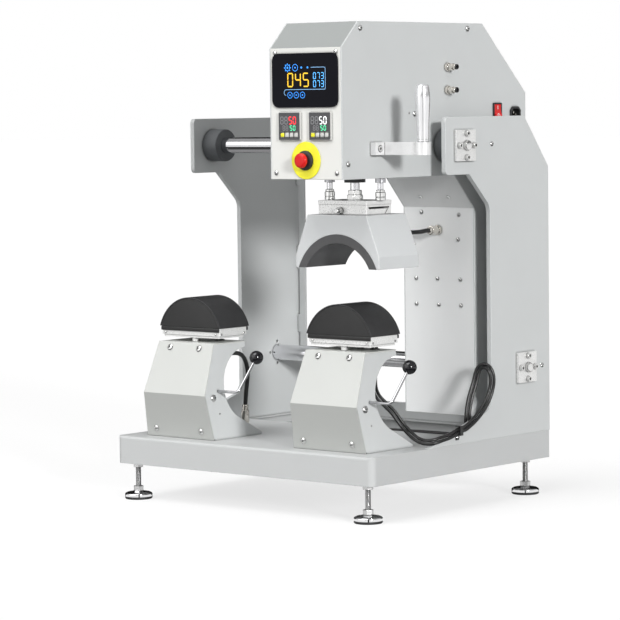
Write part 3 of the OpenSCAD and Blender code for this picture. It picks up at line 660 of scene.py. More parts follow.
def times(tree, first, second):
    """Two sizes, or a size and a number, multiplied."""
    return calculated(tree, "MULTIPLY", first, second)


def moved(tree, mesh, lift, scale=(1, 1, 1)):
    """Mesh scaled along X, Y and Z, then lifted."""
    up = add_node(tree, "ShaderNodeCombineXYZ", {2: lift}).outputs[0]
    by = add_node(tree, "ShaderNodeCombineXYZ", dict(enumerate(scale))).outputs[0]
    inputs = {"Geometry": mesh, "Translation": up, "Scale": by}
    return add_node(tree, "GeometryNodeTransform", inputs).outputs["Geometry"]


def prism(tree, vertices, radius, depth, lift):
    """Upright cylinder or prism, its middle lifted."""
    inputs = {"Vertices": vertices, "Radius": radius, "Depth": depth}
    return moved(tree, add_node(tree, "GeometryNodeMeshCylinder", inputs).outputs["Mesh"], lift)


def dome(tree, width, height, lift=0):
    """Flattened ball."""
    inputs = {"Segments": 40, "Rings": 20, "Radius": 1}
    ball = add_node(tree, "GeometryNodeMeshUVSphere", inputs).outputs["Mesh"]
    return moved(tree, ball, lift, (width, width, height))


def common(tree, first, second):
    """What two solids share."""
    node = add_node(tree, "GeometryNodeMeshBoolean", {"Mesh 2": first}, operation="INTERSECT")
    set_inputs(node, {"Mesh 2": second})
    return node.outputs["Mesh"]


def cut(tree, solid, tool):
    """A solid less another."""
    inputs = {"Mesh 1": solid, "Mesh 2": tool}
    return add_node(tree, "GeometryNodeMeshBoolean", inputs, operation="DIFFERENCE").outputs["Mesh"]


def on_points(tree, points, shape, material, seed):
    """One shape on each point, its Z along the point's facing and turned by chance, made real."""
    facing = add_node(tree, "GeometryNodeInputNamedAttribute", {"Name": "facing"},
                      data_type="FLOAT_VECTOR").outputs["Attribute"]
    aim = add_node(tree, "FunctionNodeAlignRotationToVector", {"Vector": facing}, axis="Z")
    chance = add_node(tree, "FunctionNodeRandomValue", data_type="FLOAT_VECTOR")
    set_inputs(chance, {0: (0, 0, 0), 1: (0, 0, FULL_TURN), "Seed": seed})
    spin = add_node(tree, "FunctionNodeEulerToRotation", {0: chance.outputs[0]}).outputs[0]
    both = add_node(tree, "FunctionNodeRotateRotation", rotation_space="LOCAL")
    set_inputs(both, {"Rotation": aim.outputs["Rotation"], "Rotate By": spin})
    put = add_node(tree, "GeometryNodeInstanceOnPoints", {
        "Points": points, "Instance": shape, "Rotation": both.outputs["Rotation"]})
    real = add_node(tree, "GeometryNodeRealizeInstances", {"Geometry": put.outputs["Instances"]})
    paint = add_node(tree, "GeometryNodeSetMaterial",
                     {"Geometry": real.outputs["Geometry"], "Material": material})
    add_node(tree, "NodeGroupOutput", {"Geometry": paint.outputs["Geometry"]})


def screw_tree(name, material):
    """Head with a crown and a hexagon socket, sunk to two thirds of its height."""
    tree, sizes = sized_tree(name, {"Head radius": 0.004, "Head height": 0.002, "Crown width": 1.12,
                                    "Crown height": 1.0, "Socket width": 0.0025})
    radius = sizes["Head radius"]
    height = sizes["Head height"]
    body = prism(tree, 40, radius, height, times(tree, height, 0.5))
    crown = dome(tree, times(tree, radius, sizes["Crown width"]),
                 times(tree, height, sizes["Crown height"]))
    head = common(tree, body, crown)
    key = prism(tree, 6, times(tree, sizes["Socket width"], HEXAGON_RADIUS), height,
                times(tree, height, 0.85))
    on_points(tree, sizes["Geometry"], cut(tree, head, key), material, seed=3)
    return tree


def nut_tree(name, material):
    """Hexagon nut with chamfered corners and a bore."""
    tree, sizes = sized_tree(name, {"Across flats": 0.0166, "Height": 0.008, "Bore radius": 0.0051})
    across = sizes["Across flats"]
    height = sizes["Height"]
    middle = times(tree, height, 0.5)
    body = prism(tree, 6, times(tree, across, HEXAGON_RADIUS), height, middle)
    ball = dome(tree, times(tree, across, 0.62), times(tree, height, 1.02), middle)
    bore = prism(tree, 24, sizes["Bore radius"], times(tree, height, 2), middle)
    on_points(tree, sizes["Geometry"], cut(tree, common(tree, body, ball), bore), material, seed=5)
    return tree


def repeated(name, tree, body, places, sizes, material, stands_for=()):
    """A tree's shape at each (place, facing), as one plain mesh that rides on a body."""
    mesh = bpy.data.meshes.new(name)
    mesh.from_pydata([tuple(place) for place, facing in places], [], [])
    ways = mesh.attributes.new("facing", "FLOAT_VECTOR", "POINT")
    ways.data.foreach_set("vector", [c for place, facing in places for c in facing.normalized()])
    piece = bpy.data.objects.new(name, mesh)
    scene.collection.objects.link(piece)
    modifier = piece.modifiers.new(name, "NODES")
    modifier.node_group = tree
    for socket in tree.interface.items_tree:
        if socket.name in sizes:
            value = sizes[socket.name]
            modifier[socket.identifier] = value if socket.name in RATIOS else mm(value)
    ready = piece.evaluated_get(bpy.context.evaluated_depsgraph_get())
    made = bpy.data.meshes.new_from_object(ready)
    piece.modifiers.clear()
    piece.data = made
    made.materials.clear()
    made.materials.append(material)
    made.polygons.foreach_set("material_index", [0] * len(made.polygons))
    smooth(made, 30)
    declare(piece, body, stands_for)
    return piece


BUTTON_TREE = screw_tree("button_screw", BRIGHT_ZINC)
CAP_TREE = screw_tree("cap_screw", BRIGHT_ZINC)
NUT_TREE = nut_tree("foot_nut", ZINC)
BUTTON_CROWN = {"Crown width": 1.12, "Crown height": 1.0}
CAP_CROWN = {"Crown width": 1.2, "Crown height": 1.7}


def button_screws(name, body, places, radius=4.7, height=2.7, socket=2.9):
    """Button-headed screws."""
    sizes = {"Head radius": radius, "Head height": height, "Socket width": socket, **BUTTON_CROWN}
    return repeated(name, BUTTON_TREE, body, places, sizes, BRIGHT_ZINC)


def cap_screws(name, body, places, radius, height, socket, stands_for=()):
    """Cylinder-headed screws."""
    sizes = {"Head radius": radius, "Head height": height, "Socket width": socket, **CAP_CROWN}
    return repeated(name, CAP_TREE, body, places, sizes, BRIGHT_ZINC, stands_for)


RIVET = {"radius": 1.9, "height": 0.8, "socket": 0.9}
SMALL_SCREW = {"radius": 3.9, "height": 2.2, "socket": 2.5}
button_screws("panel_screws", "carriage",
              [(at(x, PANEL_FACE, z), FRONT) for x in (107.5, 242.5) for z in (803, 598)],
              radius=4.1, height=2.4, socket=2.6)
button_screws("carriage_side_screws", "carriage",
              [(at(x, y, z), way) for x, way in ((255, RIGHT), (95, LEFT))
               for y, z in ((-221.5, 843), (80, 845), (-257, 613))]
              + [(at(255, -73.5, 696), RIGHT)])
button_screws("carriage_side_rivet", "carriage", [(at(255, -89, 698), RIGHT)], **RIVET)
THROAT_FACING = Vector((0, -0.731, -0.682))
slant_screws = button_screws("throat_slant_screws", "carriage",
                             [(at(x, 77.3, 546), THROAT_FACING) for x in (148, 211.5)],
                             **SMALL_SCREW)
slant_screws.data.materials[0] = THROAT_PAINT
button_screws("throat_screws", "carriage",
              [(at(x, 95, z), FRONT) for x, z in (
                  (136.2, 517.5), (220.9, 513.7), (219.1, 469.3), (122.8, 397.3), (171.5, 397.7),
                  (223.5, 397.2), (123.2, 350.7), (174.5, 350.5), (224.4, 350.6))], **SMALL_SCREW)
button_screws("throat_rivet", "carriage", [(at(120.9, 95, 459.9), FRONT)], radius=1.9, height=0.8, socket=1)
button_screws("upright_screws", "frame",
              [(at(s * 300, y, z), Vector((s, 0, 0))) for s in BOTH_SIDES
               for y, z in ((89, 641), (237, 236.5))], radius=4.0, height=2.3, socket=2.5)
button_screws("cable_clip_screw", "frame", [(at(302.2, -20, 128.5), RIGHT)], **SMALL_SCREW)
UPPER_FACING = Vector((0, -0.935, 0.354))
LOWER_FACING = Vector((0, -0.981, -0.199))
button_screws("stand_front_screws", "frame",
              [(at(c + s * 35, -205.2, 278.4), UPPER_FACING) for c in STATIONS for s in BOTH_SIDES]
              + [(at(c + x, -222.6, 131), LOWER_FACING) for c in STATIONS for x in (-55.8, 53.2)],
              radius=5.6, height=3.1, socket=3.6)
STAND_SIDES = [(c + s * 74.6, s) for c in STATIONS for s in BOTH_SIDES]
button_screws("stand_side_bolts", "frame",
              [(at(x, -212.5, 191.6), Vector((s, 0, 0.084))) for x, s in STAND_SIDES],
              radius=6.2, height=3.4, socket=4.1)
button_screws("stand_side_rivets", "frame",
              [(at(x + s * 2.5, -198.6, 162.5), Vector((s, 0, 0.084))) for x, s in STAND_SIDES],
              radius=1.8, height=0.7, socket=0.9)
button_screws("platen_plate_screws", "frame",
              [(at(c + s * 61, -190, 303.5), FRONT) for c in STATIONS for s in BOTH_SIDES]
              + [(at(c + s * 70, y, 303.5), Vector((s, 0, 0))) for c in STATIONS
                 for s in BOTH_SIDES for y in (-183, -122)], radius=1.9, height=0.9, socket=1.1)
cap_screws("handle_screw", "carriage", [(at(262, -184.6, 638), RIGHT)], radius=5.4, height=6, socket=4)
PLATE_SCREWS = ((21, 0), (-21, 0), (0, 21), (0, -21))
cap_screws("shaft_end_screws", "frame",
           [(at(s * 306, y + dy, z + dz), Vector((s, 0, 0))) for s in BOTH_SIDES
            for y, z in SHAFTS for dy, dz in PLATE_SCREWS],
           radius=5, height=5.5, socket=5, stands_for=("shaft_end_bolts",))
repeated("foot_nuts_turned", NUT_TREE, "frame",
         [(at(x, y, z), UP) for x, y in FEET for z in (15, 58, 69)],
         {"Across flats": 16.6, "Height": 8, "Bore radius": 5.1}, ZINC, ("foot_nuts",))


# Shaft ends and levelling feet

def thread(bm, place, radius, start, end, pitch, depth, sides=24, rings_per_turn=6):
    """Upright rod with a real helical thread."""
    steps = int((end - start) / pitch * rings_per_turn)
    rings = [[bm.verts.new(place + UP * mm(start))]]
    for index in range(steps + 1):
        z = start + (end - start) * index / steps
        ring = []
        for step in range(sides):
            turned_by = (z / pitch - step / sides) % 1
            groove = depth * (1 - abs(2 * turned_by - 1))
            angle = 2 * math.pi * step / sides
            out = Vector((math.cos(angle), math.sin(angle), 0)) * mm(radius - groove)
            ring.append(bm.verts.new(place + UP * mm(z) + out))
        rings.append(ring)
    rings.append([bm.verts.new(place + UP * mm(end))])
    for low, high in zip(rings, rings[1:]):
        join_rings(bm, low, high, sides)


def levelling_feet():
    """Threaded rods and chromed cups of the four feet."""
    rods = bmesh.new()
    cups = bmesh.new()
    cup = [(5.1, 8.2), (0, 8.2), (0, 4), (24.2, 4), (25, 4.6), (25, 8.4)]
    cup += arc(22.6, 8.4, radius=2.4, start=0, end=70, steps=6) + [(20.8, 12.0), (14.5, 13.1), (9.4, 14.2)]
    cup += arc(8.0, 13.4, radius=1.6, start=60, end=90, steps=3) + [(5.1, 15.0), (5.1, 8.2)]
    for x, y in FEET:
        thread(rods, at(x, y, 0), radius=5.0, start=8.0, end=85.0, pitch=1.5, depth=0.85)
        turn(cups, cup, at(x, y, 0), UP, sides=72)
    finish_piece("foot_rods_threaded", rods, ZINC, "frame", ("foot_rods",), angle=60)
    finish_piece("foot_cups_turned", cups, BRIGHT_CHROME, "frame", ("foot_cups",), angle=40)


# Hexagon bolt and washer in the middle of each shaft's end plate
BOLT_HEAD = [(0, 0), (8.6, 0), (8.6, 0.5), (9.3, 0.5), (9.3, 5.4), (8.2, 6.2), (7.3, 6.4), (0, 6.4)]
turned("shaft_end_bolts_turned", BRIGHT_ZINC, "frame", (), "zinc_steel",
       *[dict(profile=BOLT_HEAD, place=at(s * 306, y, z), axis=Vector((s, 0, 0)), sides=72, across=16)
         for s in BOTH_SIDES for y, z in SHAFTS], angle=25)
levelling_feet()


# Platens, levers and glands on the frame

def arch(radius, low):
    """Part of a circle above a height, from right to left, as (x, z) from the circle's centre."""
    start = math.degrees(math.asin(low / radius))
    return arc(0, 0, radius=radius, start=start, end=180 - start, steps=64)


def arch_outline(radius, low, inner=0):
    """Outline of an arch that is solid, or as thick as to its inner radius."""
    return arch(radius, low) + (arch(inner, low)[::-1] if inner else [])


def cap_platens():
    """Curved aluminium platens, each under a silicone pad with soft edges."""
    cores = bmesh.new()
    pads = bmesh.new()
    lip = rectangle(-70.6, 15.5, 70.6, 22)
    centre_height = 292
    for c in STATIONS:
        extrude(cores, arch_outline(radius=73.9, low=22), at(c, -111.6, centre_height), depth=79.8)
        for y in (-111.4, -189.1):
            extrude(cores, lip, at(c, y, centre_height), depth=2.5)
        extrude(pads, arch_outline(radius=77, low=23, inner=74.05), at(c, -111, centre_height), depth=81)
    ease(cores, width=0.9)
    ease(pads, width=1.1, segments=3)
    finish_piece("platen_cores", cores, BLACK_COAT, "frame", ("platens",), angle=40)
    finish_piece("platen_pads_moulded", pads, SILICONE, "frame", ("platen_pads",), angle=40)


def clamp_levers():
    """Bent chromed rods with their cams, and gloss ball knobs."""
    pivot_y = -198.5
    pivot_z = 203
    reach = 121
    bend = mm(9)
    bend_steps = 8
    cam = [(0, -8), (11, -8), (11.5, -7.5), (11.5, 7.5), (11, 8), (0, 8)]
    for side, c in zip(("left", "right"), STATIONS):
        corner = at(c + reach, pivot_y, pivot_z)
        top = at(c + reach, -147, 262)
        up = (top - corner).normalized()
        first = corner - RIGHT * bend
        last = corner + up * bend
        line = [at(c - 78, pivot_y, pivot_z)]
        for step in range(bend_steps + 1):
            t = step / bend_steps
            line.append(first * (1 - t) ** 2 + corner * 2 * t * (1 - t) + last * t * t)
        line.append(top - up * mm(8))
        rod = bmesh.new()
        sweep(rod, line, mm(2.5), sides=24)
        turn(rod, cam, at(c, pivot_y + 4, pivot_z), RIGHT, sides=64)
        body = side + "_lever"
        finish_piece(side + "_lever_bent", rod, LEVER_STEEL, body, (body,), angle=35)
        ball = bmesh.new()
        profile = [(0, -11.6), (4.2, -11.6)] + arc(0, 0, radius=12.5, start=-68, end=90, steps=26)
        turn(ball, profile, top, up, sides=56)
        finish_piece(side + "_lever_ball", ball, GLOSS_BLACK, body, (side + "_lever_knob",),
                     angle=50)


cap_platens()
clamp_levers()

# Nickel gland that the left lead goes down into, with its lock nut under the deck
LEFT_GLAND = at(STATIONS[0], -42, 0)
LEFT_GLAND_NUT = [(0, 104), (5, 104), (5, 108), (7.9, 108), (8.6, 108.8), (8.6, 112.2), (7.9, 113),
                  (5, 113), (5, 116), (7.8, 116), (8.6, 116.9), (8.6, 120.2), (7.8, 121), (6.2, 121),
                  (6.2, 130), (5, 130), (0, 130)]
LEFT_GLAND_CAP = [(0, 130), (6.9, 130), (7.6, 131), (7.6, 149.4), (6.8, 151), (5.8, 151.4), (5.6, 156),
                  (5.5, 159.6), (5, 161), (4.2, 161), (4.2, 157), (0, 157)]
turned("left_gland_turned", NICKEL, "frame", ("left_cable_gland",), "nickel",
       dict(profile=LEFT_GLAND_NUT, place=LEFT_GLAND, axis=UP, sides=72, across=14.9),
       dict(profile=LEFT_GLAND_CAP, place=LEFT_GLAND, axis=UP, sides=72, across=13.1), angle=25)

# Rubber grommets where the leads go through the stands' tops and into the deck
STAND_GROMMET = [(6.2, 286), (6.2, 288), (8.6, 288.1), (8.8, 288.8), (8.2, 289.8), (6.9, 290.2),
                 (6.0, 290.1), (5.6, 289.4), (5.6, 286), (6.2, 286)]
WIDE_GROMMET = [(6.6, 116), (9.4, 116), (9.4, 116.8), (8.9, 117.8), (7.6, 118.5), (6.6, 118.2),
                (6.3, 117.4), (6.6, 116)]
EDGE_GROMMET = [(3.8, 0), (7.4, 0), (7.4, 0.8), (6.8, 1.9), (5.2, 2.4), (4.1, 2.1), (3.8, 1.3),
                (3.8, 0)]
turned("lead_grommets", RUBBER, "frame", (), "black_rubber",
       dict(profile=STAND_GROMMET, place=at(-154, -133, 0), axis=UP, sides=32),
       dict(profile=STAND_GROMMET, place=at(212, -138, 0), axis=UP, sides=32),
       dict(profile=WIDE_GROMMET, place=at(278, 40, 0), axis=UP, sides=32),
       dict(profile=EDGE_GROMMET, place=at(-234, 88, 92), axis=BACK, sides=32),
       dict(profile=EDGE_GROMMET, place=at(262, 88, 92), axis=BACK, sides=32), angle=60)


# Fittings of the carriage

def controller_face(side, c):
    """Dark face of a controller, open round its four keys, and those keys."""
    edge = 23.2
    depth = 0.35
    first_key = -15.3
    key_step = 10.2
    key_middle = CONTROLLER_HEIGHT - 15
    middle = at(c, -276, CONTROLLER_HEIGHT)
    face = bmesh.new()
    extrude(face, round_corners(rectangle(-edge, -9.6, edge, edge), radius=1.2), middle, depth)
    extrude(face, rectangle(-edge, -edge, edge, -19.2), middle, depth)
    bars = [(first_key + key_step * k + 4.2, first_key + key_step * k + 6.0) for k in range(3)]
    for left, right in [(-edge, -19.5), *bars, (19.5, edge)]:
        extrude(face, rectangle(left, -19.3, right, -9.5), middle, depth)
    finish_piece(side + "_controller_face", face, DARK_FACE, "carriage", (), angle=30)
    keys = bmesh.new()
    extrude(keys, oblong(41.2, 9.2, radius=0.8), at(c, PANEL_FACE - 1.5, key_middle), depth=0.7)
    gold = bmesh.new()
    for k in range(4):
        extrude(keys if k else gold, oblong(7.6, 6.4, radius=1.4),
                at(c + first_key + key_step * k, PANEL_FACE - 2.1, key_middle), depth=2.6)
    ease(keys, width=0.35)
    ease(gold, width=0.35)
    body = side + "_keys"
    finish_piece(side + "_keys_pale", keys, KEY_RUBBER, body, (side + "_controller_keys",))
    finish_piece(side + "_key_yellow", gold, YELLOW, body, ())


SEGMENTS = {"0": "abcdef", "3": "abgcd", "4": "fgbc", "5": "afgcd", "7": "abc", "8": "abcdefg"}
MARK_HEIGHT = 0.12
TOP_ROW = 21.6
LOW_ROW = -25.0


def segment_bars(width, height, stroke, gap):
    """The seven bars of a figure, each as an outline from the figure's lower left corner."""
    half = height / 2
    s = stroke / 2
    bars = {}
    for name, y in (("a", height - s), ("g", half), ("d", s)):
        left = s + gap
        right = width - s - gap
        bars[name] = [(left, y), (left + s, y - s), (right - s, y - s), (right, y),
                      (right - s, y + s), (left + s, y + s)]
    for name, x, low, high in (("f", s, half, height - s), ("b", width - s, half, height - s),
                               ("e", s, s, half), ("c", width - s, s, half)):
        low += gap
        high -= gap
        bars[name] = [(x, low), (x + s, low + s), (x + s, high - s), (x, high),
                      (x - s, high - s), (x - s, low + s)]
    return bars


def figures(bm, digits, place, width, height, step, stroke):
    """Row of seven-bar figures on a face that looks forward."""
    bars = segment_bars(width, height, stroke, stroke * 0.09)
    for index, digit in enumerate(digits):
        for name in SEGMENTS[digit]:
            extrude(bm, [(x + index * step, z) for x, z in bars[name]], place, depth=MARK_HEIGHT)


def ring_mark(bm, place, radius, stroke):
    """Thin ring on a face that looks forward."""
    inner = radius - stroke
    turn(bm, [(inner, 0), (radius, 0), (radius, MARK_HEIGHT), (inner, MARK_HEIGHT), (inner, 0)],
         place, FRONT, sides=28)


def dot_mark(bm, place, radius):
    """Round dot on a face that looks forward."""
    turn(bm, [(0, 0), (radius, 0), (radius, MARK_HEIGHT), (0, MARK_HEIGHT)], place, FRONT, sides=20)


def display_picture():
    """Figures, rings and line on the display, all plain and generic."""

    def spot(u, v):
        """Place on the display from its middle."""
        return at(177.2 + u, -275.02, 756 + v)

    def ringed_dot(bm, u, v, radius, stroke, dot):
        """Ring with a dot in it."""
        ring_mark(bm, spot(u, v), radius, stroke)
        dot_mark(bm, spot(u, v), dot)

    def finish(name, bm, material):
        """Lit piece of the display."""
        finish_piece(name, bm, material, "carriage", (), angle=30)

    yellow = bmesh.new()
    figures(yellow, "045", spot(-40, -11.5), width=13.0, height=24.4, step=17.4, stroke=2.2)
    finish("display_big_figures", yellow, LIT_YELLOW)
    cyan = bmesh.new()
    for v in (1.6, -12.0):
        figures(cyan, "073", spot(17.6, v), width=6.2, height=11.4, step=8.6, stroke=1.1)
    finish("display_small_figures", cyan, LIT_CYAN)
    blue = bmesh.new()
    for u in (-34.4, -20.4, -6.4):
        ringed_dot(blue, u, LOW_ROW, radius=5.6, stroke=0.8, dot=1.2)
    ringed_dot(blue, -39.4, TOP_ROW, radius=5.6, stroke=0.9, dot=1.8)
    for step in range(8):
        angle = math.pi * step / 4
        dot_mark(blue, spot(-39.4 + 6.6 * math.cos(angle), TOP_ROW + 6.6 * math.sin(angle)), 0.9)
    ringed_dot(blue, -22.4, TOP_ROW, radius=6.2, stroke=0.8, dot=1.3)
    for u in (-8.4, 5.4):
        dot_mark(blue, spot(u, TOP_ROW), 1.7)
    finish("display_blue_marks", blue, LIT_BLUE)
    line = bmesh.new()
    half_width = 0.42
    track = [(12.8, 21.8), (40.6, 21.8)] + arc(41.4, 18.8, radius=3, start=90, end=0, steps=6)
    track += [(44.4, -13.6)] + arc(42.6, -13.8, radius=1.8, start=-22.5, end=-90, steps=3)
    track += [(-43, -15.6), (-45.6, -16.4), (-47.2, -18.4), (-47.2, -22.4), (-45.6, -24.6),
              (-43.4, -25.2)]
    for (u0, v0), (u1, v1) in zip(track, track[1:]):
        along = Vector((u1 - u0, v1 - v0))
        across = Vector((-along.y, along.x)).normalized() * half_width
        extrude(line, [(u0 + across.x, v0 + across.y), (u0 - across.x, v0 - across.y),
                       (u1 - across.x, v1 - across.y), (u1 + across.x, v1 + across.y)][::-1],
                spot(0, 0), depth=0.1)
    finish("display_line", line, LIT_PALE)


def controller_figures():
    """Lit and unlit figures on the two controllers."""
    face = -276.36
    upper_row = CONTROLLER_HEIGHT + 3.0
    lower_row = CONTROLLER_HEIGHT - 7.6
    ghost = bmesh.new()
    red = bmesh.new()
    green = bmesh.new()
    white = bmesh.new()
    for c, upper in zip(CONTROLLERS, (red, white)):
        figures(ghost, "88", at(c - 19.6, face, upper_row), width=7.2, height=13.6, step=9.2, stroke=1.5)
        figures(upper, "50", at(c - 0.9, face, upper_row), width=7.2, height=13.6, step=9.2, stroke=1.7)
        figures(ghost, "88", at(c - 14.6, face, lower_row), width=5.4, height=9.0, step=7.0, stroke=1.1)
        figures(green, "50", at(c + 1.6, face, lower_row), width=5.4, height=9.0, step=7.0, stroke=1.3)
    for name, bm, material in (("unlit_figures", ghost, UNLIT), ("red_figures", red, LIT_RED),
                               ("green_figures", green, LIT_GREEN), ("white_figures", white, LIT_WHITE)):
        finish_piece(name, bm, material, "carriage", (), angle=30)


def switch_marks():
    """Plain bar and ring on the rocker."""
    bm = bmesh.new()
    lean = math.radians(20)
    hinge = at(257.2, 166, 698)
    turn(bm, [(2.3, 0.02), (3.3, 0.02), (3.3, 0.2), (2.3, 0.2), (2.3, 0.02)],
         hinge + Vector((math.sin(lean), 0, -math.cos(lean))) * mm(7.0),
         Vector((math.cos(lean), 0, math.sin(lean))), sides=28)
    bar = hinge + UP * mm(7.2) + RIGHT * mm(0.02)
    extrude(bm, rectangle(-0.65, -3.4, 0.65, 3.4), bar, depth=0.2, across_way=BACK)
    finish_piece("switch_marks", bm, WHITE_INK, "power_rocker", (), angle=30)


def inlet_pins():
    """Three flat nickel contacts in the mains inlet."""
    bm = bmesh.new()
    for y, low, high in ((-7, -4.05, 0.55), (0, -0.05, 4.55), (7, -4.05, 0.55)):
        extrude(bm, rectangle(y - 1.05, low, y + 1.05, high), at(237.2, 220, 694), depth=15.9,
                across_way=BACK)
    ease(bm, width=0.3)
    finish_piece("inlet_pins", bm, NICKEL, "carriage", (), angle=30)


# Turned and polished grip with a flared top
GRIP = [(0, 0), (9.4, 0), (10, 0.6), (10, 3.2), (9.6, 3.6), (9.6, 4.4), (10, 4.8), (10.1, 12),
        (10.45, 24), (10.9, 36), (11.5, 48), (12.1, 60), (12.5, 69), (12.7, 76), (12.5, 80.5),
        (12.1, 84), (11.55, 87.3), (11, 90), (10.75, 92.8), (10.3, 95), (9.4, 96.5), (8, 97), (0, 97)]
turned("handle_grip_turned", POLISHED_ALUMINIUM, "carriage", ("handle_grip",), "polished_aluminium",
       dict(profile=GRIP, place=at(344, -165, 649), axis=UP, sides=72), angle=30)

# Two push-in air fittings through the right side, with black release rings
FITTINGS = (at(0, 18.5, 737), at(0, 18.5, 777.5))
FITTING = [(3.05, 258), (0, 258), (0, 238), (5, 238), (5, 246.5), (7.2, 246.5), (8, 247.3),
           (8, 251.6), (7.2, 252.4), (5, 252.5), (5, 255), (7.2, 255), (8, 255.8), (8, 260.2),
           (7.2, 261), (6.2, 261), (6.2, 263), (5.8, 263.5), (6.2, 264), (6.2, 270.2), (5.4, 271),
           (4.8, 271.2), (4.8, 275.6), (4.5, 276.2), (3.05, 276.2), (3.05, 258)]
RELEASE_RING = [(3.05, 274), (4.3, 274), (4.3, 276.2), (4.75, 276.6), (4.75, 278.2), (4.4, 279),
                (3.5, 279), (3.05, 278.4), (3.05, 274)]
turned("air_fittings_turned", NICKEL, "carriage", ("air_fittings",), "nickel",
       *[dict(profile=FITTING, place=place, axis=RIGHT, sides=72, across=13.8)
         for place in FITTINGS], angle=25)
turned("air_release_rings", BLACK_PLASTIC, "carriage", (), "black_plastic",
       *[dict(profile=RELEASE_RING, place=place, axis=RIGHT, sides=40) for place in FITTINGS], angle=40)

# Nickel gland in the column's front that the heater's lead leaves from
HEATER_GLAND = at(174.5, 95, 486)
HEATER_GLAND_NUT = [(0, -11), (6, -11), (6, 0), (8.6, 0), (9.4, 0.9), (9.4, 5.1), (8.6, 6), (7.3, 6),
                    (7.3, 7), (6.9, 7.4), (7.3, 7.8), (7.3, 14), (0, 14)]
HEATER_GLAND_CAP = [(0, 14), (7.8, 14), (8.6, 14.9), (8.6, 22.6), (7.8, 24), (6.4, 24.3), (6.1, 27.4),
                    (5.6, 29.3), (4.9, 30), (4.2, 30), (4.2, 26), (0, 26)]
turned("heater_gland_turned", NICKEL, "carriage", ("heater_gland",), "nickel",
       dict(profile=HEATER_GLAND_NUT, place=HEATER_GLAND, axis=FRONT, sides=72, across=16.2),
       dict(profile=HEATER_GLAND_CAP, place=HEATER_GLAND, axis=FRONT, sides=72, across=14.9), angle=25)

# Dark rubber seals in the ends of the ball bushings
SEAL = [(15.3, -1.5), (15.3, 0.2), (16.2, 0.7), (18.6, 0.7), (19.4, 0.2), (19.4, -1.5), (15.3, -1.5)]
turned("bearing_seals", RUBBER, "carriage", (), "black_rubber",
       *[dict(profile=SEAL, place=at(x, y, z), axis=way, sides=64)
         for x, way in ((95, LEFT), (255, RIGHT)) for y, z in SHAFTS], angle=40)

# Emergency stop: yellow plate, black collar and body, and red mushroom
STOP_PLATE = [(11, 0), (31.6, 0), (32, 0.3), (32, 1.1), (31.6, 1.5), (11, 1.5), (11, 0)]
turned("stop_plate", YELLOW, "carriage", ("estop_base",), "yellow_plastic",
       dict(profile=STOP_PLATE, place=STOP_CENTRE, axis=FRONT, sides=96), angle=30)
STOP_COLLAR = [(8.3, -8), (11, -8), (11, 1.5), (16.6, 1.5), (17, 1.9), (17, 4.6), (16.2, 6.4),
               (14.6, 7.2), (9.4, 7.5), (8.3, 7.2), (8.3, -8)]
STOP_BODY = [(0, -46), (10.6, -46), (11, -45.6), (11, -8.2), (0, -8.2), (0, -46)]
turned("stop_collar", BLACK_PLASTIC, "carriage", (), "black_plastic",
       dict(profile=STOP_COLLAR, place=STOP_CENTRE, axis=FRONT, sides=80),
       dict(profile=STOP_BODY, place=STOP_CENTRE, axis=FRONT), angle=30)
MUSHROOM = [(0, -3), (8, -3), (8, 10.8), (8.5, 11.5), (11.8, 12), (12.5, 12.3), (12.8, 13), (12.8, 15),
            *arc(8.3, 15, radius=4.5, start=10, end=78, steps=8), (6.2, 19.46), (3.1, 19.5), (0, 19.5)]
turned("stop_mushroom", RED, "estop_button", ("estop_button",), "red_plastic",
       dict(profile=MUSHROOM, place=STOP_CENTRE, axis=FRONT, sides=80), angle=28)

for side_name, centre_x in zip(("left", "right"), CONTROLLERS):
    controller_face(side_name, centre_x)
display_picture()
controller_figures()
switch_marks()
inlet_pins()


# Ram

# Lock nuts on its rod and turned nuts on its guide rods
GUIDE_NUT = [(5.05, 0), (8.6, 0), (9, 0.4), (9, 4.4), (8.5, 5), (8.5, 6), (9, 6.6), (9, 13.4),
             (8.5, 14), (7.1, 14), (7.5, 14.5), (7.5, 17.4), (6.9, 18), (5.05, 18), (5.05, 0)]
LOCK_NUT = [(8.05, 0), (14, 0), (15, 1), (15, 8), (14, 9), (8.05, 9), (8.05, 0)]
COUNTER_NUT = [(8.05, 9), (12.1, 9), (13, 9.9), (13, 16.1), (12.1, 17), (8.05, 17), (8.05, 9)]
turned("ram_nuts_turned", BRIGHT_ZINC, "ram", ("ram_nuts",), "zinc_steel",
       dict(profile=LOCK_NUT, place=RAM_TOP, axis=UP, sides=72, across=25.6),
       dict(profile=COUNTER_NUT, place=RAM_TOP, axis=UP, sides=72, across=22.2),
       *[dict(profile=GUIDE_NUT, place=RAM_TOP + RIGHT * mm(s * 57), axis=UP, sides=64)
         for s in BOTH_SIDES], angle=25)

# Knurled pull knob with its barrel and tip
PLUNGER = at(172, 0, 530.5)
PLUNGER_BARREL = [(0, 160), (2, 160.6), (2, 170.5), (4, 170.5), (4, 178.4), (5.6, 178.5), (6, 179)]
PLUNGER_GRIP = [(6, 179), (6, 185.6)]
PLUNGER_TIP = [(6, 185.6), (5.6, 186), (4.2, 186), (4.2, 190.4), (3.7, 191), (0, 191)]
turned("spring_plunger_turned", BRIGHT_ZINC, "spring_plunger", ("spring_plunger",), "cup_chrome",
       dict(profile=PLUNGER_BARREL, place=PLUNGER, axis=FRONT, sides=72),
       dict(profile=PLUNGER_GRIP, place=PLUNGER, axis=FRONT, sides=72, knurl=0.5, teeth=24),
       dict(profile=PLUNGER_TIP, place=PLUNGER, axis=FRONT, sides=72), angle=25)


# Finishes of the CAD's solids, also of those that a piece stands for

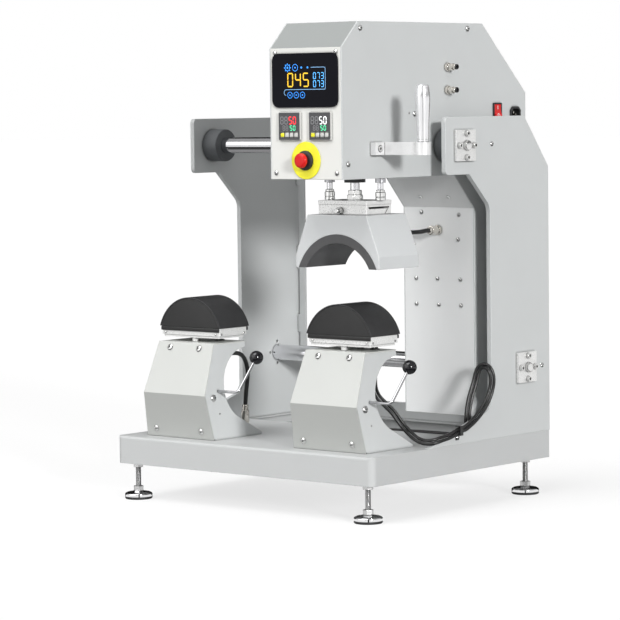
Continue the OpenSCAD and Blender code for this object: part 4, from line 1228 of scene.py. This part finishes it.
FINISHES = (
    (DECK_PAINT, ("base_deck",)),
    (GREY_PAINT, ("rear_cross_panel", "left_stand_frame", "right_stand_frame", "head_floor")),
    (UPRIGHT_PAINT, ("left_upright", "right_upright", "left_side_plate", "right_side_plate")),
    (STAND_PAINT, ("stand_covers",)),
    (COVER_PAINT, ("carriage_cover",)),
    (WHITE_PAINT, ("control_panel",)),
    (THROAT_PAINT, ("throat_panel",)),
    (HEATER_PAINT, ("heater_cover",)),
    (HEATER_COAT, ("heating_plate",)),
    (CHROME, ("upper_shaft", "lower_shaft", "ram_rod", "guide_rods")),
    (BRIGHT_CHROME, ("foot_cups", "spring_plunger")),
    (LEVER_STEEL, ("left_lever", "right_lever")),
    (MILLED_ALUMINIUM, ("shaft_end_plates", "platen_plates", "receiver_plate", "heater_slide")),
    (SATIN_ALUMINIUM, ("handle_bracket",)),
    (POLISHED_ALUMINIUM, ("handle_grip",)),
    (BRIGHT_ZINC, ("shaft_end_bolts",)),
    (ZINC, ("foot_rods", "foot_nuts", "ram_nuts")),
    (NICKEL, ("left_cable_gland", "air_fittings", "heater_gland")),
    (BEARING_STEEL, ("linear_bearings", "guide_bushings")),
    (ANODISED, ("press_cylinder",)),
    (BLACK_COAT, ("platens",)),
    (SILICONE, ("platen_pads",)),
    (RUBBER, ("foot_rubbers",)),
    (BUMPER_RUBBER, ("shaft_bumpers",)),
    (SHEATH, ("left_platen_cable", "right_platen_cables", "deck_cable", "heater_cable")),
    (BLACK_PLASTIC, ("cable_clip", "power_switch_frame", "power_inlet")),
    (GLOSS_BLACK, ("left_lever_knob", "right_lever_knob")),
    (DISPLAY_GLASS, ("touch_display",)),
    (PALE_PLASTIC, ("left_controller", "right_controller", "left_controller_keys",
                    "right_controller_keys")),
    (YELLOW, ("estop_base",)),
    (RED, ("estop_button", "power_rocker")),
)
for finish, node_names in FINISHES:
    for node_name in node_names:
        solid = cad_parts[node_name]
        solid.data.materials.clear()
        solid.data.materials.append(finish)


# Light and floor

# Height that a reflected ray goes to, from -1 straight down to 1 straight up, and what it meets
STUDIO_LEVELS = ((-1.0, 0.30), (-0.70, 0.30), (-0.62, 0.05), (-0.30, 0.05), (-0.20, 1.0), (0.02, 1.0),
                 (0.08, 0.15), (0.20, 0.15), (0.26, 1.0), (0.38, 1.0), (0.48, 0.40), (1.0, 0.38))
SOFT_LIGHT = 0.25
FLOOR_SIZE = 40
FLOOR_GLOW = 0.72
LAMP_DISTANCE = 3
CARD_DISTANCE = 6
CARD_CENTRE = Vector((0, 0, 0.45))
WHITE = (1, 1, 1)


def studio_reflection(tree):
    """White walls with dark bands, grey ceiling and floor, as metal and gloss reflect them."""
    height = spread(tree, coordinate(tree, "Generated", "Z"), low=0, high=1, start=-1, end=1)
    ramp = add_node(tree, "ShaderNodeValToRGB", {"Fac": height})
    stops = ramp.color_ramp.elements
    while len(stops) < len(STUDIO_LEVELS):
        stops.new(0.5)
    for stop, (level, value) in zip(stops, STUDIO_LEVELS):
        stop.position = (level + 1) / 2
        stop.color = (value, value, value, 1)
    return ramp.outputs["Color"]


def make_world():
    """Soft light from all round, seen as a white background."""
    world = bpy.data.worlds.new("studio")
    scene.world = world
    world.use_nodes = True
    tree = world.node_tree
    tree.nodes.clear()

    def background(colour, strength):
        """Light of a colour from everywhere."""
        inputs = {"Color": colour, "Strength": strength}
        return add_node(tree, "ShaderNodeBackground", inputs).outputs[0]

    path = add_node(tree, "ShaderNodeLightPath").outputs
    clear = calculated(tree, "MAXIMUM", path["Is Camera Ray"], path["Is Transmission Ray"])
    mirrored = mixed_shader(tree, path["Is Glossy Ray"], background(WHITE, SOFT_LIGHT),
                            background(studio_reflection(tree), 1))
    seen = mixed_shader(tree, clear, mirrored, background(WHITE, 1))
    add_node(tree, "ShaderNodeOutputWorld", {"Surface": seen})


def flat_plane(name, corners, material):
    """One flat face as an object, for the floor and the cards."""
    mesh = bpy.data.meshes.new(name)
    mesh.from_pydata([tuple(c) for c in corners], [], [tuple(range(len(corners)))])
    mesh.materials.append(material)
    plane = bpy.data.objects.new(name, mesh)
    scene.collection.objects.link(plane)
    return plane


def make_floor():
    """Wide floor, white to the camera but for the press's shadow."""
    material, tree, shader = new_material("pale_floor")
    seen = add_node(tree, "ShaderNodeLightPath").outputs["Is Camera Ray"]
    pale = mixed(tree, seen, (0.34, 0.34, 0.34), (0.95, 0.95, 0.95))
    set_inputs(shader, {"Base Color": pale, "Roughness": 0.9})
    glow = add_node(tree, "ShaderNodeEmission", {"Color": WHITE, "Strength": 1}).outputs[0]
    share = calculated(tree, "MULTIPLY", seen, FLOOR_GLOW)
    surface = mixed_shader(tree, share, shader.outputs[0], glow)
    set_inputs(tree.nodes["Material Output"], {"Surface": surface})
    corners = [(x * FLOOR_SIZE, y * FLOOR_SIZE, 0) for x, y in ((-1, -1), (1, -1), (1, 1), (-1, 1))]
    flat_plane("floor", corners, material).visible_glossy = False


def make_sun(name, turn_from_front, rise, level, softness):
    """Even lamp from a direction. At level 1 a white face square to it renders white."""
    data = bpy.data.lights.new(name, "SUN")
    data.energy = level * math.pi
    data.angle = math.radians(softness)
    lamp = bpy.data.objects.new(name, data)
    way = bearing(turn_from_front, rise)
    lamp.rotation_euler = (-way).to_track_quat("-Z", "Y").to_euler()
    lamp.location = way * LAMP_DISTANCE
    scene.collection.objects.link(lamp)
    return lamp


def dark_card(name, turn_from, turn_to, rise_from, rise_to):
    """Dark card off to a side, that only shows as a reflection in metal and gloss."""
    material, tree, shader = new_material("dark_card")
    felt = mixed(tree, noise(tree, scale=40, detail=2), (0.006, 0.006, 0.006), (0.012, 0.012, 0.012))
    set_inputs(shader, {"Base Color": felt, "Roughness": 1, "Specular IOR Level": 0})
    ways = ((turn_from, rise_from), (turn_to, rise_from), (turn_to, rise_to), (turn_from, rise_to))
    corners = [CARD_CENTRE + bearing(*way) * CARD_DISTANCE for way in ways]
    card = flat_plane(name, corners, material)
    card.visible_camera = False
    card.visible_diffuse = False
    card.visible_shadow = False
    card.visible_transmission = False


make_world()
make_floor()
make_sun("right_key", turn_from_front=66, rise=13, level=0.77, softness=9)
make_sun("top_key", turn_from_front=-12, rise=64, level=0.52, softness=40)
make_sun("right_high", turn_from_front=62, rise=48, level=0.05, softness=60)
make_sun("front_fill", turn_from_front=-20, rise=28, level=0.36, softness=60)
make_sun("rear_fill", turn_from_front=190, rise=12, level=0.30, softness=60).visible_glossy = False
dark_card("camera_side_card", turn_from=36, turn_to=46, rise_from=-40, rise_to=50)
dark_card("back_card", turn_from=158, turn_to=284, rise_from=-8, rise_to=26)
